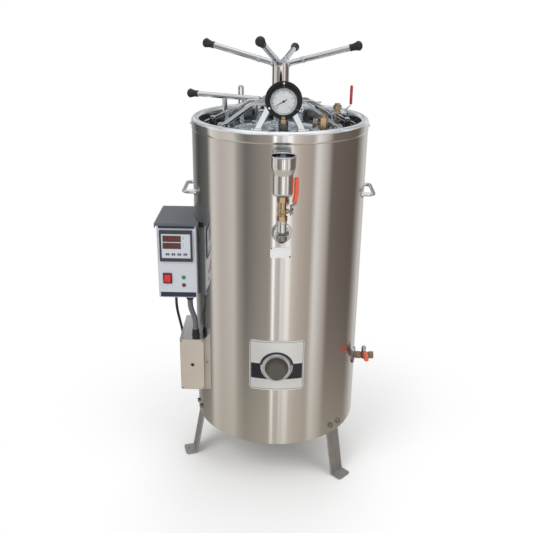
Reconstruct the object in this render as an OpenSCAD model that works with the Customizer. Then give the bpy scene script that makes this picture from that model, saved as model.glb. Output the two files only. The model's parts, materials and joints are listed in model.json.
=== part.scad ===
// Vertical autoclave with a screw driven quick opening lid.
// The chamber axis is Z, the floor is Z = 0 and the front looks along -Y.
// Ten bell crank arms hinge on the lid. A spool on the screw pushes their inner ends down,
// and their outer toes swing out under the lip of the locking ring.

/* [Chamber and jacket] */
// Inner diameter of the pressure chamber
chamber_d = 350; // [300:5:420]
// Depth of the chamber below the lid seat
chamber_depth = 620; // [520:10:720]
// Wall thickness of the chamber
chamber_t = 3; // [2:0.5:5]
// Space between the chamber bore and the outside of the jacket
wall_gap = 75; // [64:1:90]
// Height of the jacket from its bottom edge to the collar seam
jacket_h = 904; // [820:2:1080]
// Sheet thickness of the jacket
jacket_t = 1.5; // [1:0.1:2.5]
// Height of the closing plate above the bottom edge
bottom_rise = 75; // [68:1:90]

/* [Rim and ring] */
// Height of the rolled rim above the seam
rim_h = 32; // [28:1:40]
// Radial width of the rim
rim_w = 20.5; // [17:0.5:25]
// How far the rim stands out past the jacket
rim_over = 1.2; // [0.5:0.1:2.5]
// Depth of the ring section under the seat
seat_t = 16; // [12:1:20]

/* [Lid] */
// How far the lid flange lies below the seam
lid_drop = 11; // [9:0.5:13]
// Thickness of the lid flange
lid_t = 14; // [11:0.5:17]
// Radial room between the lid edge and the lip
lid_room = 25.5; // [23:0.5:28]
// Rise of the domed middle of the lid
dome_h = 20; // [14:1:26]
// Height of the machined pads above the lid flange
pad_h = 12; // [9:0.5:14]

/* [Locking gear] */
// Height of the arm pivots above the lid flange
pivot_h = 31; // [29:0.5:34]
// Height of the spool groove above the lid flange when released
spool_h = 83; // [76:1:92]
// Radius of the arm noses on the groove when released
nose_r = 45; // [42:0.5:50]
// Width of each flat bar arm
arm_w = 17.5; // [14:0.5:18.5]
// Thickness of each flat bar arm
arm_t = 8; // [6.5:0.5:9]
// Angle that each arm swings from released to locked
lock_angle = 13.5; // [12.5:0.5:16]
// Diameter of the star column
column_d = 47; // [40:1:54]
// Height of the star column top above the lid flange
column_top = 190; // [180:1:215]
// Diameter of the screw
screw_d = 28; // [24:1:32]
// Reach of each star spoke along its own axis, grip included
spoke_reach = 232; // [195:1:262]
// Diameter of the star spokes
spoke_d = 16; // [13:0.5:19]

/* [Handles and legs] */
// Height of the legs under the jacket
leg_h = 145; // [122:1:172]
// Width of the leg bars
leg_w = 50; // [42:1:58]
// Thickness of the leg bars
leg_t = 5; // [4:0.5:6]
// Height of the side handles above the jacket's bottom edge
handle_h = 729; // [610:1:800]
// Distance between the two legs of a side handle
handle_span = 110; // [92:1:130]
// Rod diameter of the side handles
handle_rod = 11; // [9:0.5:13]

/* [Electric boxes] */
// Width of the control box
ctrl_w = 114; // [108:1:134]
// Height of the control box
ctrl_h = 223; // [205:1:240]
// Width of the terminal box
term_w = 73.5; // [66:0.5:84]
// Height of the terminal box
term_h = 172; // [150:1:200]
// Sheet thickness of both boxes
box_t = 1.5; // [1:0.1:2.2]
// Distance of the box fronts from the axis
box_front = 125; // [112:1:132]
// Depth of the boxes behind their fronts
box_depth = 170; // [150:1:195]

/* [Pipework] */
// Height of the water inlet above the jacket's bottom edge
inlet_h = 670; // [600:1:700]
// Drop of the drain pipe below the chamber bottom
drain_drop = 52; // [44:1:60]
// Diameter of the brass valve bodies
valve_d = 25; // [21:0.5:29]
// Largest diameter of the filling funnel
funnel_d = 68; // [60:1:78]
// Height of the filling funnel
funnel_h = 103.5; // [90:0.5:122]
// Flange diameter of the pressure gauge
gauge_d = 98; // [84:1:110]
// Depth of the gauge case
gauge_case_l = 31; // [26:1:36]

/* [Selector] */
// Height of the selector axis above the jacket's bottom edge
dial_h = 263; // [220:1:310]
// Diameter of the numbered skirt
skirt_d = 86; // [72:1:100]
// Diameter of the selector knob
knob_d = 57; // [48:1:66]
// Side of the square plate behind the knob
plate_side = 164; // [140:1:190]

/* [Hidden] */
$fn = 48;

// Clearances
skin_gap = 0.2;      // between the jacket and what is fastened on it
fit_gap = 0.3;       // between faces that pass or rest on each other
run_gap = 0.06;      // radial, of a shaft in its bore
bolt_play = 0.2;     // radial, of a bolt in its hole
over = 1;            // overrun of a cut
hull_fn = 32;
wide_fn = 144;

// Jacket, ring and seat
chamber_r = chamber_d / 2;
body_r = chamber_r + wall_gap;
jacket_r = body_r - jacket_t;
foot_z = leg_h;
seam_z = leg_h + jacket_h;
rim_top = seam_z + rim_h;
lip_r = body_r - rim_w;
bead_r = (rim_w + rim_over) / 2;
bead_z = rim_top - bead_r;
bead_web = 5;
lip_top = bead_z - bead_web;
lid_z = seam_z - lid_drop;
lid_r = lip_r - lid_room;
lid_gap = 0.6;
seat_z = lid_z - lid_t - lid_gap;
ring_bottom = seat_z - seat_t;
groove_deep = 10.5;
groove_drop = 3.4;
groove_r = lip_r + groove_deep;

// Locking gear in its radial plane, x is the radius and y the height
arm_count = 10;
arm_pitch = 360 / arm_count;
arm_first = -108;
pivot_in = 12;
pivot_r = lid_r - pivot_in;
pivot_z = lid_z + pivot_h;
spool_z = lid_z + spool_h;
bend_out = 102;
heel_room = 17.5;
heel_r = lip_r - heel_room;
toe_room = 3.5;
toe_r = lip_r - toe_room - arm_t / 2;
toe_drop = 11;
toe_z = lid_z - toe_drop;
elbow_up = 22;
elbow_z = lid_z + elbow_up;
lip_gap = 1;
pin_r = 4;
arm_pts = [[nose_r, spool_z], [pivot_r - bend_out, spool_z], [pivot_r, pivot_z],
    [heel_r, elbow_z], [heel_r, toe_z], [toe_r, toe_z]];
function swung(p, a) = let (d = p - [pivot_r, pivot_z])
    [pivot_r + d.x * cos(a) - d.y * sin(a), pivot_z + d.x * sin(a) + d.y * cos(a)];
nose_locked = swung(arm_pts[0], lock_angle);
toe_locked = swung(arm_pts[5], lock_angle);
spool_travel = spool_z - nose_locked.y;
lip_low = toe_locked.y + arm_t / 2 + lip_gap;
groove_floor = toe_z - arm_t / 2 - groove_drop;

// Spool, screw and star
nose_play = 0.6;
nose_more = 3.5;
nose_head = arm_t / 2 + nose_more;
groove_half = nose_head + nose_play;
spool_wall = 5;
spool_root = nose_locked.x - nose_head - nose_play;
spool_r = nose_r + arm_t / 2;
spool_top = spool_z + groove_half + spool_wall;
spigot_r = 18;
spigot_h = 7;
screw_r = screw_d / 2;
column_z = lid_z + column_top;
cap_t = 6;
screw_top = column_z - cap_t - spool_travel - over;
spoke_r = spoke_d / 2;
spoke_az = [-15, 79, 168, 255.5];
spoke_rise = [15.3, 8.2, 14, 20.2];
spoke_drop = 9;
spoke_root_z = column_z - spoke_drop;
spoke_ring_at = 61;
spoke_ring_l = 8;
spoke_ring_h = 1;
grip_l = 34;
grip_big = 13;
grip_small = 9.5;
grip_bite = 22;
grip_round = 11;

// Lid
dome_edge = 32;
dome_r = lid_r - dome_edge;
dome_R = (dome_r * dome_r + dome_h * dome_h) / (2 * dome_h);
dome_wall = 7;
pad_z = lid_z + pad_h;
gasket_out = 6;
gasket_r = chamber_r + gasket_out;
gasket_w = 8;
gasket_h = 4;
boss_r = 26;

// Places of the fittings on the lid, [x, y]
gauge_at = [9, -158];
safety_at = [114, -150];
vent_at = [166, 52];
cock_at = [111, 140];
post_at = [-160.5, 53];
inner_post_at = [-68, 22];
eye_at = [-118.8, 145];
boss_h = 6;
boss_z = lid_z + dome_h + boss_h;
pad_list = [[gauge_at, 17], [safety_at, 16], [vent_at, 14], [cock_at, 11], [post_at, 13],
    [eye_at, 10]];

// Brackets of the arms
ear_t = 5;
ear_r = 8.5;
ear_gap = 0.5;
ear_base = 21;
pin_head = 2;

// Rear hinge of the lid
hinge_out = 34;
hinge_y = body_r + hinge_out;
hinge_up = 6;
hinge_z = seam_z + hinge_up;
hinge_pin_r = 6;
strap_w = 40;
strap_t = 10;
strap_over = 13;
eye_r = 11;
strap_foot = 26;
ear_plate = 6;
bracket_up = 10;
bracket_h = 70;
bracket_w = 96;
bracket_t = 5;

// Lever and posts on the lid
lever_r = 7.5;
lever_up = 84;
lever_z = lid_z + lever_up;
lever_rise = 1.2;
lever_az = 162;
lever_out = 275;
lever_in = 62;
post_r = 7;
inner_post_r = 4;
eye_up = 108;
eye_top = lid_z + eye_up;
eye_rod_r = 3.4;
eye_half = 5.25;
eye_foot_r = 9.5;

// Legs and bolts
leg_az = [-43, 77, 197];
leg_skin = 2;
leg_face = jacket_r - leg_skin;
leg_splay = 25.5;
leg_tall = 60;
leg_knee = 4;
foot_l = 32;
foot_hole_in = 14;
foot_hole_r = 4.5;
foot_round = 8;
leg_bolt_spread = 4;
leg_bolt_h = 27;
bolt_r = 4;
bolt_head = 7.5;
bolt_head_h = 5.5;
nut_h = 6;
foot_r = leg_face + leg_splay;
foot_end = foot_r + foot_l;
foot_pcd_r = foot_end - foot_hole_in;

// Side handles
handle_y = -20;
handle_out = 22;
handle_bend = 14;
washer_r = 9;
washer_t = 2.5;
handle_z = leg_h + handle_h;
handle_x = body_r + handle_out;

// Water inlet
inlet_x = 10;
inlet_out = 42;
inlet_y = -(body_r + inlet_out);
inlet_z = leg_h + inlet_h;
inlet_pipe_r = 9;
disc_r = 28;
disc_t = 3;
disc_round = 6;
valve_r = valve_d / 2;
elbow_r = 12;
elbow_ball_r = 13.2;
valve_in = 46.5;
inlet_valve_h = 65.5;
inlet_stem_up = 25.5;
inlet_stem_l = 7;
inlet_neck_r = 6.5;
inlet_neck_l = 4;
inlet_hub_r = 11;
inlet_nut_h = 4.8;
stem_r = 4;
stem_l = 13;
stem_nut = 7.5;
lever_hub_t = 3;
lever_gap = 1.2;
funnel_r = funnel_d / 2;
funnel_t = 1.2;
funnel_bead = 2.2;
funnel_shares = [[0.36, 0], [0.60, 0.012], [0.72, 0.04], [0.785, 0.10], [0.794, 0.54],
    [0.925, 0.69], [0.97, 0.76], [0.98, 1]];
inlet_lever_l = 90;
inlet_grip_l = 67;
inlet_step = 14;
inlet_grip_t = 12;
grip_w = 14;
strap_share = 0.6;

// Drain
drain_az = -14;
drain_x = body_r * cos(drain_az);
drain_y = body_r * sin(drain_az);
drain_r = 11;
drain_pipe_r = 9;
drain_len = 61.6;
drain_hex_at = 8;
drain_disc_r = 26;
drain_stem_out = 31.4;
drain_plate_up = 22.6;
drain_lever_l = 81;
drain_grip_l = 56;
drain_grip_t = 11;

// Chamber bottom, heater and basket
dish_h = 60;
dish_R = (chamber_r * chamber_r + dish_h * dish_h) / (2 * dish_h);
chamber_low = seat_z - chamber_depth;
drain_z = chamber_low - drain_drop;
tangent_z = chamber_low + dish_h;
ledge_up = 30;
ledge_z = tangent_z + ledge_up;
ledge_w = 14;
ledge_t = 3;
heater_r = 120;
heater_tube = 5.5;
heater_up = 52;
heater_z = chamber_low + heater_up;
heater_leg = 60;
cold_end = 1.5;
heater_gap_deg = 24;
basket_room = 6;
basket_h = 430;
basket_t = 1.5;
basket_r = chamber_r - basket_room;
slot_count = 12;
slot_w = 12;
slot_shares = [[0.12, 0.46], [0.54, 0.88]];

// Control box, its front panel and the hood
ctrl_in = 18;
ctrl_x1 = -(body_r - ctrl_in);
ctrl_x0 = ctrl_x1 - ctrl_w;
ctrl_up = 421;
ctrl_z0 = leg_h + ctrl_up;
ctrl_z1 = ctrl_z0 + ctrl_h;
box_y0 = -box_front;
box_y1 = box_y0 + box_depth;
panel_t = 2;
panel_y = box_y0 - panel_t;
panel_side = 1.5;
hood_over = 6;
hood_t = 1.5;
hood_skirt = 9;
hood_lip = 2;
hood_rise = 4;
cut_w = 90;
cut_drop = 61;
bezel_w = 94;
bezel_t = 7;
bezel_round = 4;
bezel_in = 55;
bezel_x = ctrl_x0 + bezel_in;
bezel_z = ctrl_z1 - cut_drop;
screen_w = 78;
screen_h = 66;
screen_deep = 2;
ctrl_body_l = 60;
key_w = 10;
key_h = 6;
key_l = 9;
key_out = 1.4;
key_travel = 1;
key_pitch = 17;
key_drop = 25;
key_side = 0.8;
key_z = bezel_z - key_drop;
key_x = bezel_x + key_side;
rocker_w = 26;
rocker_h = 32;
rocker_rim = 3.5;
rocker_lip = 3;
rocker_deep = 20;
rocker_in = 27;
rocker_up = 61;
rocker_x = ctrl_x0 + rocker_in;
rocker_z = ctrl_z0 + rocker_up;
rocker_pin_r = 1.2;
rocker_tilt = 8;
rocker_out = 3;
lamp_r = 4.6;
lamp_rim = 1.6;
lamp_in = 74;
lamp_x = ctrl_x0 + lamp_in;
lamp_up = 64;
lamp_pitch = 24;
lamp_out = 3;
lamp_deep = 14;

// Terminal box
term_in = 32.5;
term_x1 = -(body_r - term_in);
term_x0 = term_x1 - term_w;
term_up = 110;
term_z0 = leg_h + term_up;
term_z1 = term_z0 + term_h;
cover_t = 2;
cover_round = 6;
cover_in = 1;
cover_edge = 5;
cover_hole_r = 4;
flange_deg = 10.5;
flange_lap = 1.5;
saddle_lift = 0.3;
saddle_t = 0.9;
flange_half = 21;
flange_rise = 39;
flange_low = 22;

// Glands, conduit and cord
gland_at = [-243, -112];
gland_r = 11;
gland_h = 30;
gland_top_r = 9.5;
cond_r = 8.5;
cond_bore = 6;
cond_ribs = 26;
cond_plain = 8;
cond_rib = 0.9;
cond_in = [-257, -112];
cord_r = 4;
cond_bend_high = 40;
cond_bend_low = 45;
cord_start = [-300, -100];
cord_end_y = 6;
cord_elbow_z = 360;
cord_gland_r = 7;
cord_gland_l = 9;
cord_gland_h = 16;
cord_collar = 1.5;
cord_straight = 9;
cond_neck = 9;

// Selector
dial_az = -89.3;
dial_z = leg_h + dial_h;
plate_t = 1.5;
plate_round = 12;
plate_up = 4;
skirt_t = 3;
skirt_out = 4;
knob_l = 24;
knob_ribs = 18;
knob_rib_r = 2.2;
shaft_r = 4;
shaft_bite = 12;

// Gauge and other fittings
gauge_r = gauge_d / 2;
gauge_case_r = gauge_r * 0.78;
gauge_ring = 3.5;
gauge_up = 108;
gauge_back = 8;
gauge_z = lid_z + gauge_up;
gauge_y = gauge_at.y + gauge_back;
gauge_flange_t = 3;
gauge_hole_r = 3;
gauge_hole_in = 6;
gauge_hole_pcd = gauge_r - gauge_hole_in;
gauge_deep = 8;
gauge_foot_r = 13;
gauge_foot_h = 38;
gauge_nut = 12;
pointer_t = 0.8;
pointer_l_share = 0.8;
pointer_tail_share = 0.3;
pointer_hub = 3;
pointer_az = 210;
glass_t = 2;
safety_h = 60;
safety_hex = 13;
safety_r = 9;
vent_h = 59;
vent_ball_r = 12;
vent_hex = 11;
vent_stem_up = 32;
vent_lever_l = 79;
vent_grip_l = 55;
vent_grip_w = 11;
vent_grip_t = 8;
vent_step = 13.5;
cock_h = 42;
cock_r = 6;
cock_bar = 20;
cock_bar_r = 3;

// Fixings on the boxes
screw_head_r = 2.6;
screw_head_h = 1.6;
saddle_screw_az = -145.5;

// A place on the radius r at the angle az and height z, with X pointing outwards
module at_az(az, r, z) {
    rotate([0, 0, az]) translate([r, 0, z]) children();
}

// A flat shape drawn in the radial plane, given a width across it
module radial_plate(width) {
    rotate([90, 0, 0]) linear_extrude(width, center = true) children();
}

// A bar with round ends from a to b, drawn flat
module bar2d(a, b, w) {
    d = b - a;
    translate(a) rotate(atan2(d.y, d.x)) translate([0, -w / 2]) square([norm(d), w]);
    translate(a) circle(d = w);
    translate(b) circle(d = w);
}

// A rectangle with round corners, drawn flat and centred
module round_rect(w, h, r) {
    square([w - 2 * r, h], center = true);
    square([w, h - 2 * r], center = true);
    for (sx = [-1, 1], sy = [-1, 1]) translate([sx * (w / 2 - r), sy * (h / 2 - r)]) circle(r);
}

// A hexagon prism standing on Z = 0, measured across its flats
module hex_bar(flats, h) {
    cylinder(d = flats / cos(30), h = h, $fn = 6);
}

// A rod from a to b with flat ends
module rod(a, b, r) {
    d = b - a;
    translate(a) rotate([0, acos(d.z / norm(d)), atan2(d.y, d.x)]) cylinder(r = r, h = norm(d));
}

// The space that the jacket fills, widened by a clearance
module jacket_space(gap) {
    cylinder(r = body_r + gap, h = rim_top, $fn = wide_fn);
}

// A closed tube along a list of points, with a radius for each point and k sides
function unit(v) = v / norm(v);
function along(p, i) = unit(p[min(i + 1, len(p) - 1)] - p[max(i - 1, 0)]);
function ring(p, i, r, k) = let (t = along(p, i), u = unit(cross(t, [0, 1, 0])), v = cross(t, u))
    [for (j = [0:k - 1]) p[i] + r * (u * cos(360 * j / k) + v * sin(360 * j / k))];
function bezier(c, t) = let (s = 1 - t)
    s * s * s * c[0] + 3 * s * s * t * c[1] + 3 * s * t * t * c[2] + t * t * t * c[3];

module tube(p, r, k) {
    n = len(p);
    pts = [for (i = [0:n - 1]) each ring(p, i, r[i], k)];
    sides = [for (i = [0:n - 2], j = [0:k - 1]) let (a = i * k + j, b = i * k + (j + 1) % k)
        each [[a, b, b + k], [a, b + k, a + k]]];
    cap = [for (j = [1:k - 2]) [0, j + 1, j]];
    far_cap = [for (j = [1:k - 2]) [(n - 1) * k, (n - 1) * k + j, (n - 1) * k + j + 1]];
    polyhedron(points = pts, faces = concat(sides, cap, far_cap), convexity = 6);
}

// A sheet box open at the front, with its inner side curved round the jacket
module hugging_box(x0, x1, z0, z1) {
    difference() {
        translate([x0, box_y0, z0]) cube([x1 - x0, box_depth, z1 - z0]);
        jacket_space(skin_gap);
        difference() {
            translate([x0 + box_t, box_y0 - over, z0 + box_t])
                cube([x1 - x0 - 2 * box_t, box_depth + over - box_t, z1 - z0 - 2 * box_t]);
            jacket_space(skin_gap + box_t);
        }
    }
}

// A lever of a ball valve on a hub with its axis along Z, its handle along X
module valve_lever(l, grip_l, step, wide, thick, hub_r) {
    strap_wide = wide * strap_share;
    start = l - grip_l;
    difference() {
        union() {
            cylinder(r = hub_r, h = lever_hub_t);
            translate([0, -strap_wide / 2, 0]) cube([start - step, strap_wide, lever_hub_t]);
            hull() {
                translate([start - step - over, -strap_wide / 2, 0]) cube([over, strap_wide, lever_hub_t]);
                translate([start, -strap_wide / 2, step]) cube([thick / 2, strap_wide, lever_hub_t]);
            }
        }
        translate([0, 0, -over]) cylinder(r = stem_r + bolt_play, h = lever_hub_t + 2 * over);
    }
    hull() for (x = [start + thick / 2, l - thick / 2], side = [-1, 1])
        translate([x, side * (wide - thick) / 2, step + lever_hub_t / 2]) sphere(d = thick, $fn = hull_fn);
}

module outer_jacket() {
    color("silver") difference() {
        translate([0, 0, foot_z]) union() {
            difference() {
                cylinder(r = body_r, h = jacket_h, $fn = wide_fn);
                translate([0, 0, -over]) cylinder(r = jacket_r, h = jacket_h + 2 * over, $fn = wide_fn);
            }
            translate([0, 0, bottom_rise]) cylinder(r = jacket_r, h = jacket_t, $fn = wide_fn);
        }
        leg_bolt_holes();
        translate([inlet_x, -body_r + disc_round, inlet_z]) rotate([90, 0, 0])
            cylinder(r = inlet_pipe_r + bolt_play, h = disc_round + over);
        translate([drain_x - 2 * disc_round, drain_y, drain_z]) rotate([0, 90, 0])
            cylinder(r = drain_pipe_r + bolt_play, h = 4 * disc_round);
        at_az(dial_az, body_r - shaft_bite, dial_z) rotate([0, 90, 0])
            cylinder(r = shaft_r + run_gap, h = shaft_bite + over);
    }
}

module leg_bolt_holes() {
    for (az = leg_az, side = [-1, 1])
        at_az(az + side * leg_bolt_spread, leg_face - 2 * leg_t, foot_z + leg_bolt_h) rotate([0, 90, 0])
            cylinder(r = bolt_r + bolt_play, h = body_r - leg_face + 3 * leg_t);
}

module top_collar() {
    color("gainsboro") rotate_extrude() {
        translate([jacket_r, seam_z]) square([jacket_t + rim_over, bead_z - seam_z]);
        translate([lip_r, lip_top]) square([2 * bead_r, bead_web]);
        translate([lip_r + bead_r, bead_z]) intersection() {
            circle(bead_r);
            translate([-bead_r, 0]) square([2 * bead_r, bead_r]);
        }
    }
}

module locking_ring() {
    seat_edge = lid_r + over;
    color("gray") rotate_extrude() polygon([[chamber_r, ring_bottom], [jacket_r, ring_bottom],
        [jacket_r, lip_top], [lip_r, lip_top], [lip_r, lip_low], [groove_r, lip_low],
        [groove_r, groove_floor], [seat_edge, groove_floor], [seat_edge, seat_z],
        [chamber_r, seat_z]]);
}

module chamber() {
    cap_z = chamber_low + dish_R;
    color("lightgray") difference() {
        rotate_extrude() {
            translate([chamber_r, tangent_z]) square([chamber_t, ring_bottom - tangent_z]);
            translate([chamber_r - ledge_w, ledge_z]) square([ledge_w, ledge_t]);
            intersection() {
                translate([0, cap_z]) difference() {
                    circle(dish_R + chamber_t, $fn = 180);
                    circle(dish_R, $fn = 180);
                }
                translate([0, chamber_low - chamber_t]) square([chamber_r + chamber_t, dish_h + chamber_t]);
            }
        }
        for (s = [-1, 1]) heater_terminal(s, bolt_play);
        translate([0, 0, chamber_low - chamber_t - over])
            cylinder(r = drain_r - chamber_t, h = chamber_t + 2 * over);
        translate([inlet_x, -chamber_r + disc_round, inlet_z]) rotate([90, 0, 0])
            cylinder(r = inlet_pipe_r - chamber_t, h = chamber_t + disc_round + over);
    }
}

module heater_terminal(side, play) {
    rotate([0, 0, 90 + side * heater_gap_deg / 2]) translate([heater_r, 0, heater_z - heater_leg])
        cylinder(r = heater_tube + cold_end + play, h = heater_leg + heater_tube);
}

module heating_element() {
    color("dimgray") {
        rotate([0, 0, 90 + heater_gap_deg / 2]) rotate_extrude(angle = 360 - heater_gap_deg)
            translate([heater_r, heater_z]) circle(heater_tube);
        for (s = [-1, 1]) heater_terminal(s, 0);
    }
}

module basket() {
    base_z = ledge_z + ledge_t;
    color("silver") difference() {
        union() {
            translate([0, 0, base_z]) difference() {
                cylinder(r = basket_r, h = basket_h);
                translate([0, 0, basket_t]) cylinder(r = basket_r - basket_t, h = basket_h);
            }
            rotate_extrude() translate([basket_r - 2 * basket_t, base_z + basket_h])
                circle(2 * basket_t);
        }
        for (i = [0:slot_count - 1], s = slot_shares)
            rotate([0, 0, (i + 0.5) * 180 / slot_count])
                translate([-body_r, -slot_w / 2, base_z + s[0] * basket_h])
                    cube([2 * body_r, slot_w, (s[1] - s[0]) * basket_h]);
    }
}

module leg_outline() {
    x0 = leg_face - leg_t;
    polygon([[x0, foot_z + leg_tall], [leg_face, foot_z + leg_tall], [leg_face, foot_z - leg_knee],
        [foot_r, leg_t], [foot_end, leg_t], [foot_end, 0], [foot_r - leg_t, 0],
        [x0, foot_z - leg_knee]]);
}

module legs() {
    plan = foot_end - leg_face + 2 * leg_t;
    color("darkgray") difference() {
        for (az = leg_az) rotate([0, 0, az]) intersection() {
            radial_plate(leg_w) leg_outline();
            linear_extrude(foot_z + leg_tall)
                translate([foot_end - plan / 2, 0]) round_rect(plan, leg_w, foot_round);
        }
        leg_bolt_holes();
        for (az = leg_az) at_az(az, foot_pcd_r, -over) cylinder(r = foot_hole_r, h = leg_t + 2 * over);
    }
}

module leg_bolt() {
    inner = leg_face - leg_t - fit_gap;
    rotate([0, 90, 0]) union() {
        translate([0, 0, inner - nut_h]) cylinder(r = bolt_r, h = body_r - inner + nut_h + bolt_head_h);
        translate([0, 0, body_r + skin_gap]) hex_bar(2 * bolt_head, bolt_head_h);
        translate([0, 0, inner - nut_h]) hex_bar(2 * bolt_head, nut_h);
    }
}

module small_screw() {
    cylinder(r = screw_head_r, h = screw_head_h);
}

module fasteners() {
    collar_screw_z = seam_z + 2 * bolt_r;
    color("silver") {
        for (az = leg_az, side = [-1, 1])
            at_az(az + side * leg_bolt_spread, 0, foot_z + leg_bolt_h) leg_bolt();
        for (az = [0, 180]) at_az(az, body_r + rim_over + skin_gap, collar_screw_z)
            rotate([0, 90, 0]) cylinder(r = bolt_r, h = bolt_head_h);
        for (x = [term_x0 + cover_edge, term_x1 - cover_edge],
            z = [term_z0 + cover_edge, term_z1 - cover_edge])
            translate([x, box_y0 - cover_t - skin_gap, z]) rotate([90, 0, 0]) small_screw();
        at_az(saddle_screw_az, body_r + 2 * skin_gap + box_t, (term_z0 + term_z1 + flange_rise) / 2)
            rotate([0, 90, 0]) small_screw();
        for (x = [-1, 1], z = [-1, 1])
            translate([x * (bracket_w / 2 - bolt_head), hinge_plate_y() + skin_gap,
                hinge_z + bracket_up - bracket_h / 2 + z * (bracket_h / 2 - bolt_head)])
                rotate([-90, 0, 0]) hex_bar(bolt_head * 1.4, bolt_head_h / 2);
    }
}

module side_handles() {
    color("silver") for (s = [0, 1]) mirror([s, 0, 0]) difference() {
        union() {
            for (e = [-1, 1]) translate([0, handle_y + e * handle_span / 2, handle_z]) {
                rotate([0, 90, 0]) cylinder(d = handle_rod, h = handle_x - handle_bend);
                rotate([0, 90, 0]) cylinder(r = washer_r,
                    h = sqrt(body_r * body_r - pow(handle_y + e * handle_span / 2, 2)) + washer_t);
            }
            translate([handle_x, handle_y, handle_z]) rotate([90, 0, 0])
                cylinder(d = handle_rod, h = handle_span - 2 * handle_bend, center = true);
            for (e = [-1, 1])
                translate([handle_x - handle_bend, handle_y + e * (handle_span / 2 - handle_bend),
                    handle_z])
                    rotate([0, 0, e > 0 ? 0 : -90]) rotate_extrude(angle = 90)
                        translate([handle_bend, 0]) circle(d = handle_rod);
        }
        jacket_space(skin_gap);
    }
}

module inlet_elbow() {
    color("gainsboro") difference() {
        union() {
            translate([inlet_x, 0, inlet_z]) rotate([90, 0, 0]) {
                translate([0, 0, chamber_r + chamber_t])
                    cylinder(r = inlet_pipe_r, h = -inlet_y - chamber_r - chamber_t);
                translate([0, 0, body_r - disc_round]) cylinder(r = disc_r, h = disc_t + disc_round);
                translate([0, 0, body_r + disc_t])
                    cylinder(r1 = disc_r, r2 = elbow_r, h = 2 * disc_round);
            }
            translate([inlet_x, inlet_y, inlet_z]) sphere(elbow_ball_r);
            translate([inlet_x, inlet_y, inlet_z]) cylinder(r = elbow_r, h = valve_in);
        }
        difference() {
            jacket_space(skin_gap);
            translate([inlet_x, 0, inlet_z]) rotate([90, 0, 0])
                cylinder(r = inlet_pipe_r, h = body_r + over);
        }
    }
}

module inlet_valve() {
    base = inlet_z + valve_in;
    stem_z = base + inlet_stem_up;
    color("goldenrod") translate([inlet_x, inlet_y, base]) union() {
        hex_bar(valve_d * 0.96, inlet_valve_h * 0.2);
        cylinder(r = valve_r * 0.84, h = inlet_valve_h);
        translate([0, 0, inlet_stem_up]) sphere(valve_r);
        translate([0, 0, inlet_valve_h * 0.78]) hex_bar(valve_d * 0.96, inlet_valve_h * 0.22);
    }
    color("goldenrod") translate([inlet_x, inlet_y, stem_z]) rotate([0, 90, 0])
        cylinder(r = inlet_neck_r, h = valve_r + inlet_neck_l);
    color("silver") translate([inlet_x, inlet_y, stem_z]) rotate([0, 90, 0]) {
        cylinder(r = stem_r, h = valve_r + inlet_stem_l + nut_h);
        translate([0, 0, valve_r + inlet_stem_l + lever_hub_t + lever_gap])
            hex_bar(2 * stem_nut, inlet_nut_h);
    }
}

module inlet_lever() {
    hub_x = inlet_x + valve_r + inlet_stem_l;
    color("orangered") translate([hub_x, inlet_y, inlet_z + valve_in + inlet_stem_up])
        rotate([0, 90, 0]) rotate([0, 0, 180])
            valve_lever(inlet_lever_l, inlet_grip_l, inlet_step, grip_w, inlet_grip_t, inlet_hub_r);
}

module inlet_funnel() {
    hole = valve_r / 3;
    outer = [for (s = funnel_shares) [s[0] * funnel_r, s[1] * funnel_h]];
    inner = [for (i = [len(outer) - 1:-1:1]) [outer[i].x - funnel_t, outer[i].y + funnel_t]];
    color("silver") translate([inlet_x, inlet_y, inlet_z + valve_in + inlet_valve_h]) rotate_extrude() {
        polygon(concat([[hole, 0]], outer, inner, [[hole, inner[len(inner) - 1].y]]));
        translate([funnel_r - funnel_bead, funnel_h]) circle(funnel_bead);
    }
}

module drain_valve() {
    stem_x = drain_x + drain_stem_out;
    stem_top = drain_plate_up + lever_hub_t + lever_gap;
    color("goldenrod") {
        translate([0, 0, drain_z]) cylinder(r = drain_r, h = chamber_low - chamber_t - skin_gap - drain_z);
        translate([0, 0, drain_z]) sphere(drain_r + skin_gap);
        translate([0, 0, drain_z]) rotate([90, 0, 0]) cylinder(r = drain_pipe_r, h = -drain_y);
        translate([0, drain_y, drain_z]) sphere(drain_r + skin_gap);
        translate([0, drain_y, drain_z]) rotate([0, 90, 0]) {
            cylinder(r = drain_pipe_r, h = drain_x + drain_len);
            translate([0, 0, drain_x + drain_hex_at]) hex_bar(drain_r * 2, drain_len * 0.2);
            translate([0, 0, drain_x + drain_stem_out]) sphere(drain_r * 1.15);
            translate([0, 0, drain_x + drain_len * 0.78]) hex_bar(drain_r * 2, drain_len * 0.22);
        }
        translate([stem_x, drain_y, drain_z]) cylinder(r = inlet_neck_r, h = drain_plate_up - lever_gap);
    }
    color("silver") translate([stem_x, drain_y, drain_z]) {
        cylinder(r = stem_r, h = stem_top + nut_h / 4);
        translate([0, 0, stem_top]) hex_bar(stem_nut * 1.5, nut_h / 2);
    }
    color("silver") difference() {
        at_az(drain_az, 0, drain_z) rotate([0, 90, 0]) cylinder(r = drain_disc_r, h = body_r + disc_t);
        jacket_space(skin_gap);
        translate([0, drain_y, drain_z]) rotate([0, 90, 0])
            cylinder(r = drain_pipe_r, h = drain_x + drain_len);
    }
}

module drain_lever() {
    color("orangered") translate([drain_x + drain_stem_out, drain_y, drain_z + drain_plate_up])
        rotate([0, 0, -90]) valve_lever(drain_lever_l, drain_grip_l, 0, grip_w, drain_grip_t, stem_nut);
}

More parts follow.
